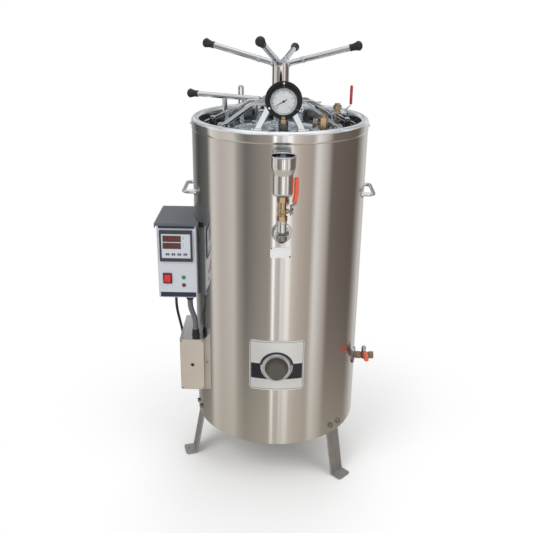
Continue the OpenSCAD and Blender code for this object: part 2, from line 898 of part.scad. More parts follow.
module dial_plate() {
    half_deg = asin(plate_side / 2 / body_r);
    color("darkgray") difference() {
        intersection() {
            rotate([0, 0, dial_az - half_deg - over]) rotate_extrude(angle = 2 * (half_deg + over))
                translate([body_r + skin_gap, foot_z]) square([plate_t, seam_z - foot_z]);
            at_az(dial_az, 0, dial_z + plate_up) rotate([90, 0, 90])
                linear_extrude(body_r + 2 * plate_t) round_rect(plate_side, plate_side, plate_round);
        }
        at_az(dial_az, 0, dial_z) rotate([0, 90, 0]) cylinder(r = 3 * shaft_r, h = body_r + skirt_out);
    }
}

module selector_knob() {
    skirt_x = body_r + skirt_out;
    color("dimgray") at_az(dial_az, 0, dial_z) rotate([0, 90, 0]) {
        translate([0, 0, body_r - shaft_bite]) cylinder(r = shaft_r, h = shaft_bite + skirt_out);
        translate([0, 0, skirt_x]) cylinder(r1 = skirt_d / 2, r2 = skirt_d / 2 - skirt_t, h = skirt_t);
        difference() {
            translate([0, 0, skirt_x + skirt_t]) cylinder(d1 = knob_d, d2 = knob_d * 0.9, h = knob_l);
            for (i = [0:knob_ribs - 1]) rotate([0, 0, i * 360 / knob_ribs])
                translate([knob_d / 2 + knob_rib_r * 0.3, 0, skirt_x + skirt_t + knob_rib_r])
                    cylinder(r = knob_rib_r, h = knob_l);
        }
    }
}

module control_box() {
    color("lightgray") difference() {
        hugging_box(ctrl_x0, ctrl_x1, ctrl_z0, ctrl_z1);
        translate([cond_in.x, cond_in.y, ctrl_z0 - over]) cylinder(r = cond_bore, h = box_t + 2 * over);
    }
}

module control_hood() {
    x0 = ctrl_x0 - hood_over;
    x1 = ctrl_x1 + hood_over;
    y0 = panel_y - fit_gap - hood_t;
    z1 = ctrl_z1 + fit_gap + hood_rise;
    color("slategray") difference() {
        translate([x0, y0, ctrl_z1 - hood_skirt])
            cube([x1 - x0, box_y1 - y0, z1 + hood_t - ctrl_z1 + hood_skirt]);
        translate([ctrl_x0 - hood_over + hood_t, panel_y - fit_gap, ctrl_z1 - hood_skirt - over])
            cube([x1 - x0 - 2 * hood_t, box_depth + panel_t + 2 * over, hood_skirt + fit_gap + over]);
        translate([x0 + hood_t, y0 - over, ctrl_z1 - hood_skirt - over])
            cube([x1 - x0 - 2 * hood_t, hood_t + 2 * over, hood_skirt + over - hood_lip]);
        jacket_space(skin_gap);
    }
}

module front_panel() {
    color("whitesmoke") difference() {
        translate([ctrl_x0 + panel_side, panel_y, ctrl_z0])
            cube([ctrl_w - 2 * panel_side, panel_t - skin_gap, ctrl_h - fit_gap]);
        translate([bezel_x, panel_y - over, bezel_z]) rotate([-90, 0, 0])
            linear_extrude(panel_t + 2 * over) square(cut_w + 2 * fit_gap, center = true);
        translate([rocker_x, panel_y - over, rocker_z]) rotate([-90, 0, 0])
            linear_extrude(panel_t + 2 * over)
                square([rocker_w - rocker_rim + fit_gap, rocker_h - rocker_rim + fit_gap], center = true);
        for (i = [0, 1]) translate([lamp_x, panel_y - over, ctrl_z0 + lamp_up - i * lamp_pitch])
            rotate([-90, 0, 0]) cylinder(r = lamp_r + bolt_play, h = panel_t + 2 * over);
    }
}

module controller() {
    color("dimgray") difference() {
        union() {
            translate([bezel_x, panel_y, bezel_z]) rotate([90, 0, 0])
                linear_extrude(bezel_t) round_rect(bezel_w, bezel_w, bezel_round);
            translate([bezel_x - cut_w / 2, panel_y - over, bezel_z - cut_w / 2])
                cube([cut_w, ctrl_body_l, cut_w]);
        }
        translate([bezel_x - screen_w / 2, panel_y - bezel_t - over, bezel_z - screen_h / 2])
            cube([screen_w, over + screen_deep, screen_h]);
        for (i = [0:3]) translate([key_x + (i - 1.5) * key_pitch, panel_y - bezel_t - over, key_z])
            rotate([-90, 0, 0]) linear_extrude(over + screen_deep + key_l)
                square([key_w + 2 * fit_gap, key_h + 2 * fit_gap], center = true);
    }
}

module button(i) {
    x = key_x + (i - 2.5) * key_pitch;
    color("black") translate([x, panel_y - bezel_t + screen_deep - key_out, key_z])
        rotate([-90, 0, 0]) linear_extrude(key_l - key_travel + key_out - fit_gap)
            round_rect(key_w, key_h, key_h / 4);
}

module panel_fittings() {
    color("black") translate([rocker_x, panel_y, rocker_z]) rotate([90, 0, 0]) difference() {
        union() {
            translate([0, 0, skin_gap]) linear_extrude(rocker_lip)
                round_rect(rocker_w, rocker_h, rocker_rim / 2);
            translate([0, 0, -rocker_deep]) linear_extrude(rocker_deep + skin_gap)
                square([rocker_w - rocker_rim, rocker_h - rocker_rim], center = true);
        }
        translate([0, 0, -rocker_deep + rocker_rim]) linear_extrude(rocker_deep + 2 * rocker_lip)
            square([rocker_w - 2 * rocker_rim, rocker_h - 2 * rocker_rim], center = true);
    }
    color("silver") translate([rocker_x, panel_y, rocker_z]) rotate([0, 90, 0])
        cylinder(r = rocker_pin_r - run_gap, h = rocker_w - 1.5 * rocker_rim, center = true);
    for (i = [0, 1])
        color(i == 0 ? "seagreen" : "darkred")
            translate([lamp_x, panel_y, ctrl_z0 + lamp_up - i * lamp_pitch]) rotate([90, 0, 0]) {
                translate([0, 0, -lamp_deep]) cylinder(r = lamp_r, h = lamp_deep);
                cylinder(r = lamp_r + lamp_rim, h = lamp_out / 3);
                translate([0, 0, lamp_out / 3]) cylinder(r1 = lamp_r, r2 = lamp_r * 0.6, h = lamp_out);
            }
}

module rocker() {
    half = rocker_h / 2 - rocker_rim - 2 * fit_gap - over / 2;
    wide = rocker_w - 2 * rocker_rim - 2 * fit_gap;
    deep = rocker_lip + rocker_out;
    color("crimson") translate([rocker_x, panel_y, rocker_z]) rotate([-rocker_tilt, 0, 0]) difference() {
        rotate([90, 0, 90]) linear_extrude(wide, center = true)
            polygon([[-deep, -half], [-deep * 0.72, 0], [-deep, half], [0, half], [half * 0.5, 0],
                [0, -half]]);
        rotate([0, 90, 0]) cylinder(r = rocker_pin_r, h = rocker_w, center = true);
    }
}

// Centre line of the conduit between the two boxes
cond_low = term_z1 + gland_h;
cond_high = ctrl_z0 - cond_neck;
cond_route = [[cond_in.x, cond_in.y, cond_high], [cond_in.x, cond_in.y, cond_high - cond_bend_high],
    [gland_at.x, gland_at.y, cond_low + cond_bend_low], [gland_at.x, gland_at.y, cond_low]];

cond_bend = [cond_route[0] - [0, 0, 2 * cond_r], cond_route[1], cond_route[2],
    cond_route[3] + [0, 0, 2 * cond_r]];

module power_conduit() {
    n = 2 * cond_ribs;
    m = n - 2 * cond_plain;
    last = cond_route[3];
    path = concat([for (i = [0:cond_plain - 1]) cond_route[0] - [0, 0, 2 * cond_r * i / cond_plain]],
        [for (i = [0:m]) bezier(cond_bend, i / m)],
        [for (i = [1:cond_plain]) last + [0, 0, 2 * cond_r * (1 - i / cond_plain)]]);
    radii = [for (i = [0:n]) i % 2 == 0 ? cond_r - cond_rib : cond_r];
    bore = [for (i = [0:n]) cond_bore];
    k = 8;
    pts = concat([for (i = [0:n]) each ring(path, i, radii[i], k)],
        [for (i = [0:n]) each ring(path, i, bore[i], k)]);
    in0 = (n + 1) * k;
    walls = [for (i = [0:n - 1], j = [0:k - 1]) let (a = i * k + j, b = i * k + (j + 1) % k)
        each [[a, b, b + k], [a, b + k, a + k], [in0 + a, in0 + b + k, in0 + b],
            [in0 + a, in0 + a + k, in0 + b + k]]];
    ends = [for (j = [0:k - 1]) let (b = (j + 1) % k, a2 = n * k + j, b2 = n * k + b)
        each [[j, in0 + j, in0 + b], [j, in0 + b, b], [a2, b2, in0 + b2], [a2, in0 + b2, in0 + a2]]];
    color("gray") polyhedron(points = pts, faces = concat(walls, ends), convexity = 8);
}

// Centre line of the thin cord, from the control box into the elbow on the terminal box
cord_x = term_x0 - cord_gland_l;
cord_end_z = cord_elbow_z + cord_gland_h + fit_gap;
cord_turns = [[cord_x, -94, 520], [cord_x, -80, 497], [cord_x, -62, 474], [cord_x, -43, 450.5],
    [cord_x, -24, 427], [cord_x, -8, 407], [cord_x, 2.5, 392.5]];
cord_route = concat([[cord_start.x, cord_start.y, cond_high - fit_gap],
    [cord_start.x, cord_start.y, cond_high - 2 * cord_straight]], cord_turns,
    [[cord_x, cord_end_y, cord_end_z + cord_straight], [cord_x, cord_end_y, cord_end_z]]);

module sensor_cord() {
    steps = 3;
    n = len(cord_route);
    path = [for (i = [0:n - 2], s = [0:steps - 1]) let (t = s / steps,
        p0 = cord_route[max(i - 1, 0)], p1 = cord_route[i], p2 = cord_route[i + 1],
        p3 = cord_route[min(i + 2, n - 1)])
        p1 + 0.5 * (t * (p2 - p0) + t * t * (2 * p0 - 5 * p1 + 4 * p2 - p3)
            + t * t * t * (3 * p1 - p0 - 3 * p2 + p3))];
    full = concat(path, [cord_route[n - 1]]);
    color("black") tube(full, [for (p = full) cord_r], 8);
}

module terminal_box() {
    flange_az = atan2(-box_front, -sqrt(body_r * body_r - box_front * box_front));
    color("silver") {
        difference() {
            hugging_box(term_x0, term_x1, term_z0, term_z1);
            translate([gland_at.x, gland_at.y, term_z1 - box_t - over])
                cylinder(r = cond_bore, h = box_t + 2 * over);
        }
        intersection() {
            rotate([0, 0, flange_az - flange_lap]) rotate_extrude(angle = flange_deg, $fn = wide_fn)
                translate([body_r + skin_gap + saddle_lift, term_z0])
                    square([saddle_t, term_h + flange_rise]);
            at_az(saddle_screw_az, 0, 0) rotate([90, 0, 90]) linear_extrude(body_r + 2 * plate_t)
                polygon([[-flange_half - box_t, term_z0], [-flange_half - box_t, term_z1 - box_t],
                    [flange_half, term_z1 + flange_rise], [flange_half, term_z0 + flange_low]]);
        }
    }
}

module terminal_cover() {
    color("silver") translate([(term_x0 + term_x1) / 2, box_y0 - skin_gap, (term_z0 + term_z1) / 2])
        rotate([90, 0, 0]) difference() {
            linear_extrude(cover_t) round_rect(term_w - 2 * cover_in, term_h, cover_round);
            translate([0, 0, -over]) cylinder(r = cover_hole_r, h = cover_t + 2 * over);
        }
}

module cable_glands() {
    color("black") {
        translate([gland_at.x, gland_at.y, term_z1]) difference() {
            union() {
                hex_bar(gland_r * 1.8, gland_h * 0.3);
                cylinder(r1 = gland_r * 0.9, r2 = gland_top_r, h = gland_h);
            }
            translate([0, 0, -over]) cylinder(r = cond_bore, h = gland_h + 2 * over);
        }
        translate([cond_in.x, cond_in.y, cond_high]) difference() {
            cylinder(r = gland_r, h = cond_neck);
            translate([0, 0, -over]) cylinder(r = cond_bore, h = cond_neck + 2 * over);
        }
        translate([cord_start.x, cord_start.y, cond_high]) cylinder(r = cord_gland_r, h = cond_neck);
        translate([cord_x, cord_end_y, cord_elbow_z]) {
            rotate([0, 90, 0]) cylinder(r = cord_gland_r, h = cord_gland_l);
            sphere(cord_gland_r + skin_gap);
            cylinder(r1 = cord_gland_r, r2 = cord_r + cord_collar, h = cord_gland_h);
        }
    }
}

// Height of the middle of the hinge plate and its outer face
function hinge_plate_y() = body_r + skin_gap + bracket_t;

module hinge_bracket() {
    mid = hinge_z + bracket_up - bracket_h / 2;
    plate_y = hinge_plate_y();
    color("gray") {
        difference() {
            translate([-bracket_w / 2, 0, mid - bracket_h / 2]) cube([bracket_w, plate_y, bracket_h]);
            jacket_space(rim_over + skin_gap);
        }
        for (s = [-1, 1]) translate([s * (strap_w / 2 + fit_gap + ear_plate / 2), 0, 0])
            rotate([90, 0, 90]) linear_extrude(ear_plate, center = true) {
                polygon([[plate_y - over / 2, hinge_z - 4 * eye_r], [plate_y - over / 2, hinge_z + eye_r],
                    [hinge_y, hinge_z + eye_r], [hinge_y + eye_r, hinge_z]]);
                translate([hinge_y, hinge_z]) circle(eye_r);
            }
        translate([0, hinge_y, hinge_z]) rotate([0, 90, 0])
            cylinder(r = hinge_pin_r, h = strap_w + 2 * ear_plate + 2 * nut_h, center = true);
    }
}

module hinge_strap() {
    foot_y = lid_r - strap_foot;
    top_z = rim_top + strap_over;
    color("silver") difference() {
        rotate([90, 0, 90]) linear_extrude(strap_w, center = true) {
            polygon([[foot_y, lid_z], [lid_r, lid_z], [lid_r, lid_z + strap_t],
                [foot_y + 1.6 * strap_t, lid_z + strap_t], [lid_r, top_z - strap_t / 2],
                [hinge_y - strap_t, top_z - strap_t / 2], [hinge_y - eye_r * 0.7, hinge_z],
                [hinge_y + eye_r * 0.7, hinge_z], [hinge_y + strap_t * 0.4, top_z],
                [hinge_y - strap_t * 0.4, top_z + strap_t / 2], [lid_r - strap_t, top_z + strap_t / 2],
                [foot_y, lid_z + 1.5 * strap_t]]);
            translate([hinge_y, hinge_z]) circle(eye_r);
        }
        translate([0, hinge_y, hinge_z]) rotate([0, 90, 0])
            cylinder(r = hinge_pin_r + run_gap, h = strap_w + 2 * over, center = true);
    }
}

module lid_plate() {
    cap_z = lid_z + dome_h - dome_R;
    color("silver") {
        difference() {
            union() {
                translate([0, 0, lid_z - lid_t]) difference() {
                    cylinder(r = lid_r, h = lid_t);
                    translate([0, 0, -over]) cylinder(r = dome_r, h = lid_t + 2 * over);
                    translate([0, 0, -over]) difference() {
                        cylinder(r = gasket_r + gasket_w, h = gasket_h + over);
                        cylinder(r = gasket_r, h = gasket_h + over);
                    }
                }
                rotate_extrude() intersection() {
                    translate([0, cap_z]) difference() {
                        circle(dome_R, $fn = 360);
                        circle(dome_R - dome_wall, $fn = 360);
                    }
                    translate([0, lid_z - dome_wall]) square([dome_r, dome_h + dome_wall]);
                }
                difference() {
                    for (p = pad_list) translate([p[0].x, p[0].y, lid_z - dome_wall])
                        cylinder(r = p[1], h = pad_h + dome_wall);
                    translate([0, 0, cap_z]) sphere(dome_R - dome_wall / 2, $fn = 180);
                }
                translate([0, 0, lid_z + dome_h - dome_wall]) cylinder(r = boss_r, h = dome_wall + boss_h);
                translate([inner_post_at.x, inner_post_at.y, lid_z + dome_h - dome_wall])
                    cylinder(r = boss_r / 2, h = dome_wall + boss_h / 2);
                translate([0, 0, lid_z + dome_h - dome_wall])
                    cylinder(r = screw_r, h = screw_top - lid_z - dome_h + dome_wall);
            }
        }
    }
}

module lid_gasket() {
    color("whitesmoke") translate([0, 0, seat_z + fit_gap]) difference() {
        cylinder(r = gasket_r + gasket_w, h = lid_z - lid_t + gasket_h - seat_z - fit_gap);
        translate([0, 0, -over]) cylinder(r = gasket_r, h = gasket_h + lid_t);
    }
}

module arm_brackets() {
    y_mid = arm_w / 2 + ear_gap + ear_t / 2;
    color("silver") for (i = [1:arm_count]) rotate([0, 0, arm_first + (i - 1) * arm_pitch]) {
        for (s = [-1, 1]) translate([0, s * y_mid, 0]) radial_plate(ear_t) {
            translate([lid_r - ear_base, lid_z]) square([ear_base, pivot_h - ear_r]);
            translate([pivot_r - ear_r, lid_z]) square([2 * ear_r, pivot_h]);
            translate([pivot_r, pivot_z]) circle(ear_r);
        }
        translate([pivot_r, 0, pivot_z]) rotate([90, 0, 0])
            cylinder(r = pin_r, h = 2 * (y_mid + ear_t / 2 + pin_head), center = true);
    }
}

module lock_arm(i) {
    color("gainsboro") rotate([0, 0, arm_first + (i - 1) * arm_pitch]) difference() {
        radial_plate(arm_w) {
            for (k = [0:len(arm_pts) - 2]) bar2d(arm_pts[k], arm_pts[k + 1], arm_t);
            translate(arm_pts[0]) circle(nose_head);
            translate([pivot_r, pivot_z]) circle(pin_r + arm_t / 2);
        }
        translate([pivot_r, 0, pivot_z]) rotate([90, 0, 0])
            cylinder(r = pin_r + run_gap, h = arm_w + 2 * over, center = true);
    }
}

module lid_lever() {
    up = [cos(lever_az) * cos(lever_rise), sin(lever_az) * cos(lever_rise), sin(lever_rise)];
    a = [up.x * lever_in, up.y * lever_in, lever_z + lever_in * sin(lever_rise)];
    b = [up.x * lever_out, up.y * lever_out, lever_z + lever_out * sin(lever_rise)];
    color("silver") {
        union() {
            rod(a, b, lever_r);
            translate([post_at.x, post_at.y, pad_z])
                cylinder(r = post_r, h = lever_z + norm(post_at) * tan(lever_rise) - pad_z);
            translate([inner_post_at.x, inner_post_at.y, boss_z - boss_h / 2])
                cylinder(r = inner_post_r,
                    h = lever_z + norm(inner_post_at) * tan(lever_rise) - boss_z + boss_h / 2);
        }
        translate([eye_at.x, eye_at.y, pad_z]) {
            cylinder(r = eye_foot_r, h = nut_h);
            for (side = [-1, 1]) translate([side * eye_half, 0, 0])
                cylinder(r = eye_rod_r, h = eye_top - pad_z - eye_rod_r - eye_half);
            translate([0, 0, eye_top - pad_z - eye_rod_r - eye_half]) rotate([90, 0, 0])
                rotate_extrude(angle = 180) translate([eye_half, 0]) circle(eye_rod_r);
        }
    }
}

// A tapered grip with a rounded end, its rod end at Z = 0
module tapered_grip(small, big, bore) {
    difference() {
        rotate_extrude() difference() {
            union() {
                polygon([[0, 0], [small, 0], [big, grip_l - grip_round], [0, grip_l - grip_round]]);
                translate([0, grip_l - grip_round]) square([big - grip_round, grip_round]);
                translate([big - grip_round, grip_l - grip_round]) intersection() {
                    circle(grip_round);
                    square(grip_round);
                }
            }
        }
        translate([0, 0, -over]) cylinder(r = bore, h = grip_bite + over);
    }
}

module lever_grip() {
    up = [cos(lever_az) * cos(lever_rise), sin(lever_az) * cos(lever_rise), sin(lever_rise)];
    start = lever_out - grip_bite;
    color("black") translate([up.x * start, up.y * start, lever_z + start * sin(lever_rise)])
        rotate([0, 90 - lever_rise, lever_az]) tapered_grip(grip_small, grip_big, lever_r + skin_gap);
}

module gauge_case() {
    color("black") translate([gauge_at.x, gauge_y, gauge_z]) rotate([90, 0, 0]) difference() {
        union() {
            cylinder(r = gauge_r, h = gauge_flange_t);
            cylinder(r = gauge_case_r, h = gauge_case_l);
        }
        for (a = [90, 210, 330]) rotate([0, 0, a]) translate([gauge_hole_pcd, 0, -over])
            cylinder(r = gauge_hole_r, h = gauge_flange_t + 2 * over);
        translate([0, 0, gauge_case_l - gauge_deep])
            cylinder(r = gauge_case_r - gauge_ring, h = gauge_deep + over);
    }
    color("goldenrod") translate([gauge_at.x, gauge_at.y, pad_z + gauge_foot_h]) {
        hex_bar(gauge_nut * 1.8, gauge_nut * 0.8);
        cylinder(r = gauge_nut / 2, h = gauge_z - gauge_case_r * 0.98 - pad_z - gauge_foot_h);
    }
    color("silver") translate([gauge_at.x, gauge_at.y, pad_z]) cylinder(r = gauge_foot_r, h = gauge_foot_h);
}

module gauge_pointer() {
    face = gauge_y - gauge_case_l + gauge_deep;
    long = (gauge_case_r - gauge_ring) * pointer_l_share;
    tail = (gauge_case_r - gauge_ring) * pointer_tail_share;
    color("black") translate([gauge_at.x, face - fit_gap, gauge_z])
        rotate([90, 0, 0]) rotate([0, 0, pointer_az]) {
        linear_extrude(pointer_t) polygon([[-tail, -over], [-tail, over], [0, over * 1.3], [long, over / 3],
            [long, -over / 3], [0, -over * 1.3]]);
        cylinder(r = pointer_hub, h = 2 * pointer_t);
    }
}

module gauge_glass() {
    color("lightblue", 0.4) translate([gauge_at.x, gauge_y - gauge_case_l + glass_t, gauge_z])
        rotate([90, 0, 0]) cylinder(r = gauge_case_r - gauge_ring - skin_gap, h = glass_t);
}

module safety_valve() {
    color("goldenrod") translate([safety_at.x, safety_at.y, pad_z]) difference() {
        union() {
            hex_bar(safety_hex * 2, safety_h * 0.25);
            cylinder(r = safety_r, h = safety_h);
            translate([0, 0, safety_h * 0.38]) hex_bar(safety_hex * 1.85, safety_h * 0.5);
        }
        for (a = [0, 90]) rotate([0, 0, a]) translate([-safety_hex, -over, safety_h * 0.93])
            cube([2 * safety_hex, 2 * over, safety_h]);
    }
}

module vent_valve() {
    color("goldenrod") translate([vent_at.x, vent_at.y, pad_z]) {
        hex_bar(vent_hex * 2, vent_h * 0.2);
        cylinder(r = vent_hex * 0.75, h = vent_h);
        translate([0, 0, vent_stem_up]) sphere(vent_ball_r * 0.92);
        translate([0, 0, vent_h * 0.72]) hex_bar(vent_hex * 1.9, vent_h * 0.2);
    }
    color("silver") translate([vent_at.x, vent_at.y, pad_z + vent_stem_up]) rotate([0, 90, 0]) {
        cylinder(r = stem_r, h = vent_ball_r + stem_l + nut_h / 2);
        translate([0, 0, vent_ball_r + stem_l + lever_hub_t + lever_gap - nut_h / 3])
            hex_bar(stem_nut * 1.4, nut_h / 2);
    }
}

module vent_lever() {
    hub_x = vent_at.x + vent_ball_r + stem_l - nut_h / 3;
    color("orangered") translate([hub_x, vent_at.y, pad_z + vent_stem_up])
        rotate([0, 90, 0]) rotate([0, 0, 180])
            valve_lever(vent_lever_l, vent_grip_l, vent_step, vent_grip_w, vent_grip_t, stem_nut);
}

module air_cock() {
    color("goldenrod") translate([cock_at.x, cock_at.y, pad_z]) {
        hex_bar(cock_r * 2.6, cock_h * 0.3);
        cylinder(r = cock_r, h = cock_h);
        translate([0, 0, cock_h * 0.55]) rotate([0, 90, 0]) cylinder(r = cock_r * 0.6, h = cock_r * 2.2);
    }
}

module air_cock_handle() {
    color("silver") translate([cock_at.x, cock_at.y, pad_z + cock_h + fit_gap]) {
        cylinder(r = cock_bar_r, h = cock_bar_r * 2);
        translate([0, 0, cock_bar_r * 2]) rotate([0, 90, 0])
            cylinder(r = cock_bar_r, h = cock_bar, center = true);
        for (s = [-1, 1]) translate([s * cock_bar / 2, 0, cock_bar_r * 2]) sphere(cock_bar_r);
    }
}

module lock_spool() {
    flange_lo = spool_z - groove_half - spool_wall;
    color("gainsboro") difference() {
        union() {
            translate([0, 0, flange_lo]) cylinder(r = spool_root, h = spool_top - flange_lo);
            translate([0, 0, flange_lo]) cylinder(r = spool_r, h = spool_wall);
            translate([0, 0, spool_z + groove_half]) cylinder(r = spool_r, h = spool_wall);
            cylinder(r = spigot_r, h = spool_top + spigot_h);
        }
        translate([0, 0, -over]) cylinder(r = body_r, h = flange_lo + over);
        cylinder(r = screw_r + run_gap, h = spool_top + 2 * spigot_h);
    }
}

module star_hub() {
    base = spool_top + fit_gap;
    column_r = column_d / 2;
    color("gainsboro") difference() {
        union() {
            translate([0, 0, base]) cylinder(r = column_r, h = column_z - base);
            for (k = [0:3]) at_az(spoke_az[k], 0, spoke_root_z) rotate([0, 90 - spoke_rise[k], 0]) {
                cylinder(r = spoke_r, h = spoke_reach - grip_l + grip_bite);
                translate([0, 0, spoke_ring_at]) cylinder(r = spoke_r + spoke_ring_h, h = spoke_ring_l);
            }
        }
        translate([0, 0, base - over]) cylinder(r = screw_r + run_gap, h = column_z - cap_t - base + over);
        translate([0, 0, base - over]) cylinder(r = spigot_r + run_gap, h = spigot_h + fit_gap + over);
    }
}

module star_grips() {
    color("black") for (k = [0:3]) at_az(spoke_az[k], 0, spoke_root_z) rotate([0, 90 - spoke_rise[k], 0])
        translate([0, 0, spoke_reach - grip_l])
            tapered_grip(grip_small, grip_big, spoke_r + skin_gap);
}

outer_jacket();
top_collar();
locking_ring();
chamber();
heating_element();
basket();
legs();
fasteners();
side_handles();
inlet_elbow();
inlet_valve();
inlet_lever();
inlet_funnel();
drain_valve();
drain_lever();
dial_plate();
selector_knob();
control_box();
control_hood();
front_panel();
controller();
button(1);  // button_1
button(2);  // button_2
button(3);  // button_3
button(4);  // button_4
panel_fittings();
rocker();
power_conduit();
sensor_cord();
terminal_box();
terminal_cover();
cable_glands();
hinge_bracket();
hinge_strap();
lid_plate();
lid_gasket();
arm_brackets();
lid_lever();
lever_grip();
gauge_case();
gauge_pointer();
gauge_glass();
safety_valve();
vent_valve();
vent_lever();
air_cock();
air_cock_handle();
lock_spool();
star_hub();
star_grips();
for (i = [1:arm_count]) lock_arm(i);
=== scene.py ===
"""Looks of an upright autoclave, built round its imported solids."""

import json
import math

import bmesh
import bpy
from mathutils import Matrix, Vector

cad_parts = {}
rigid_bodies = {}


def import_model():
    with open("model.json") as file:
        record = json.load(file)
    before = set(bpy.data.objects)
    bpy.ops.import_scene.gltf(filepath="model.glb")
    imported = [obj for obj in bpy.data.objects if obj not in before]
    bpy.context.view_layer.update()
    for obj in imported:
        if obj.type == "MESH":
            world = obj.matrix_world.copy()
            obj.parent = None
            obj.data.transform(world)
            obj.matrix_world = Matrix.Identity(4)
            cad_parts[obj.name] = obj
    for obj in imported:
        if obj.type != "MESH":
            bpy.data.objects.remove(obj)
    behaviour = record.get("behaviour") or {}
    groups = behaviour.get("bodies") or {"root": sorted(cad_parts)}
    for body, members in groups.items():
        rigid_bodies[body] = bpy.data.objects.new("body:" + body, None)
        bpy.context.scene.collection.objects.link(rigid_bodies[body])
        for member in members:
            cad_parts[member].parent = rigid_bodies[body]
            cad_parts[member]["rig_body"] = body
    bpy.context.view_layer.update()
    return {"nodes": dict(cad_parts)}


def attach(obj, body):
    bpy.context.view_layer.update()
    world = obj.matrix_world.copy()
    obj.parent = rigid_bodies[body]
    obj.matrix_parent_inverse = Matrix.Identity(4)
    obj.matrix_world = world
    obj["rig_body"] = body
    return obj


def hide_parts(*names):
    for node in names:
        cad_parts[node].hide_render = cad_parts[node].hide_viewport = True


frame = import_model()

bl_info = {
    "name": "Upright autoclave",
    "version": (1, 0, 0),
    "blender": (4, 5, 0),
    "location": "View3D > Sidebar > Autoclave",
    "description": "Dresses the solids of an upright autoclave with metals, scales and fittings",
    "category": "Object",
}

NODES = frame["nodes"]
MM = 0.001
TAU = 2 * math.pi
WELD = 2e-6  # corners of a solid closer than this, in metres, are one
FLAT = 0.8  # faces that meet at less than this, in degrees, are one
JACKET_R, SEAT_R = 250, 250.2  # radius of the jacket, and the one at which fittings sit on it, in millimetres


# ---------------------------------------------------------------- small tools

def finished(name, bm, material, node, smooth=35, stands=True):
    """Turns a bmesh into a piece on the body of a node."""
    mesh = bpy.data.meshes.new(name)
    bm.to_mesh(mesh)
    bm.free()
    return placed(name, mesh, material, node, smooth, stands)


def placed(name, mesh, material, node, smooth=35, stands=True):
    """Gives a mesh its object, materials and body; smooth=None keeps the mesh's own normals."""
    piece = bpy.data.objects.new(name, mesh)
    bpy.context.scene.collection.objects.link(piece)
    kinds = [face.material_index for face in mesh.polygons]
    mesh.materials.clear()
    for one in material if isinstance(material, (list, tuple)) else [material]:
        mesh.materials.append(one)
    mesh.polygons.foreach_set("material_index", kinds if len(mesh.materials) > 1 else [0] * len(kinds))
    if smooth is not None:
        mesh.shade_smooth()
        mesh.set_sharp_from_angle(angle=math.radians(smooth))
    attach(piece, NODES[node]["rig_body"])
    if stands:
        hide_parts(node)
    return piece


def baked(piece):
    """Mesh of a piece with its modifiers applied; the piece itself is removed."""
    graph = bpy.context.evaluated_depsgraph_get()
    graph.update()
    mesh = bpy.data.meshes.new_from_object(piece.evaluated_get(graph), depsgraph=graph)
    piece.modifiers.clear()
    bpy.data.objects.remove(piece)
    return mesh


def loose(name, bm):
    """A working object that no piece rides on yet."""
    mesh = bpy.data.meshes.new(name)
    bm.to_mesh(mesh)
    bm.free()
    piece = bpy.data.objects.new(name, mesh)
    bpy.context.scene.collection.objects.link(piece)
    return piece


def rounded(work, width, angle=32, segments=2):
    """Rounds the edges of a working object and keeps its flat faces flat in the light."""
    work.data.shade_smooth()
    work.data.set_sharp_from_angle(angle=math.radians(angle))
    bevel = work.modifiers.new("Bevel", "BEVEL")
    bevel.width = width * MM
    bevel.segments = segments
    bevel.limit_method = "ANGLE"
    bevel.angle_limit = math.radians(angle)
    bevel.use_clamp_overlap = True
    bevel.miter_outer = "MITER_ARC"
    bevel.harden_normals = True
    normal = work.modifiers.new("Normals", "WEIGHTED_NORMAL")
    normal.weight = 80
    normal.keep_sharp = True
    return baked(work)


def softened(node, material, width=0.5, segments=2, pick=None):
    """A welded copy of a solid with rounded edges, which stands for it; pick gives each face its material."""
    bm = bmesh.new()
    bm.from_mesh(NODES[node].data)
    bmesh.ops.remove_doubles(bm, verts=bm.verts, dist=WELD)
    bmesh.ops.dissolve_limit(bm, angle_limit=math.radians(FLAT), verts=bm.verts, edges=bm.edges)
    for face in bm.faces:
        face.material_index = pick(face.calc_center_median() / MM) if pick else 0
    mesh = rounded(loose(node + "_work", bm), width, segments=segments)
    return placed(node + "_piece", mesh, material, node, None)


def dressed(name, bm, material, node, width=0.4, stands=True, angle=32):
    """A piece from a bmesh with its edges rounded, on the body of a node."""
    return placed(name, rounded(loose(name + "_work", bm), width, angle), material, node, None, stands)


def lathe(bm, profile, steps=96, turn=None, closed=False, material=0):
    """Revolves (radius, height) points, in millimetres, about Z, then applies a turn."""
    rings = []
    for r, z in profile:
        if r == 0:
            rings.append([bm.verts.new((0, 0, z * MM))])
            continue
        turns = [TAU * k / steps for k in range(steps)]
        rings.append([bm.verts.new((r * MM * math.cos(a), r * MM * math.sin(a), z * MM)) for a in turns])
    pairs = list(zip(rings, rings[1:]))
    if closed:
        pairs.append((rings[-1], rings[0]))
    faces = []
    for a, b in pairs:
        for k in range(steps):
            n = (k + 1) % steps
            if len(a) == 1:
                faces.append(bm.faces.new((a[0], b[n], b[k])))
            elif len(b) == 1:
                faces.append(bm.faces.new((a[k], a[n], b[0])))
            else:
                faces.append(bm.faces.new((a[k], a[n], b[n], b[k])))
    for face in faces:
        face.material_index = material
    made = [v for ring in rings for v in ring]
    if turn is not None:
        bmesh.ops.transform(bm, matrix=turn, verts=made)
    bmesh.ops.recalc_face_normals(bm, faces=faces)
    return made


def arc(cx, cz, r, start, end, steps=8):
    """Points of a round corner for a lathe profile, angles in degrees from the radius outwards."""
    return [(cx + r * math.cos(math.radians(start + (end - start) * k / steps)),
             cz + r * math.sin(math.radians(start + (end - start) * k / steps))) for k in range(steps + 1)]


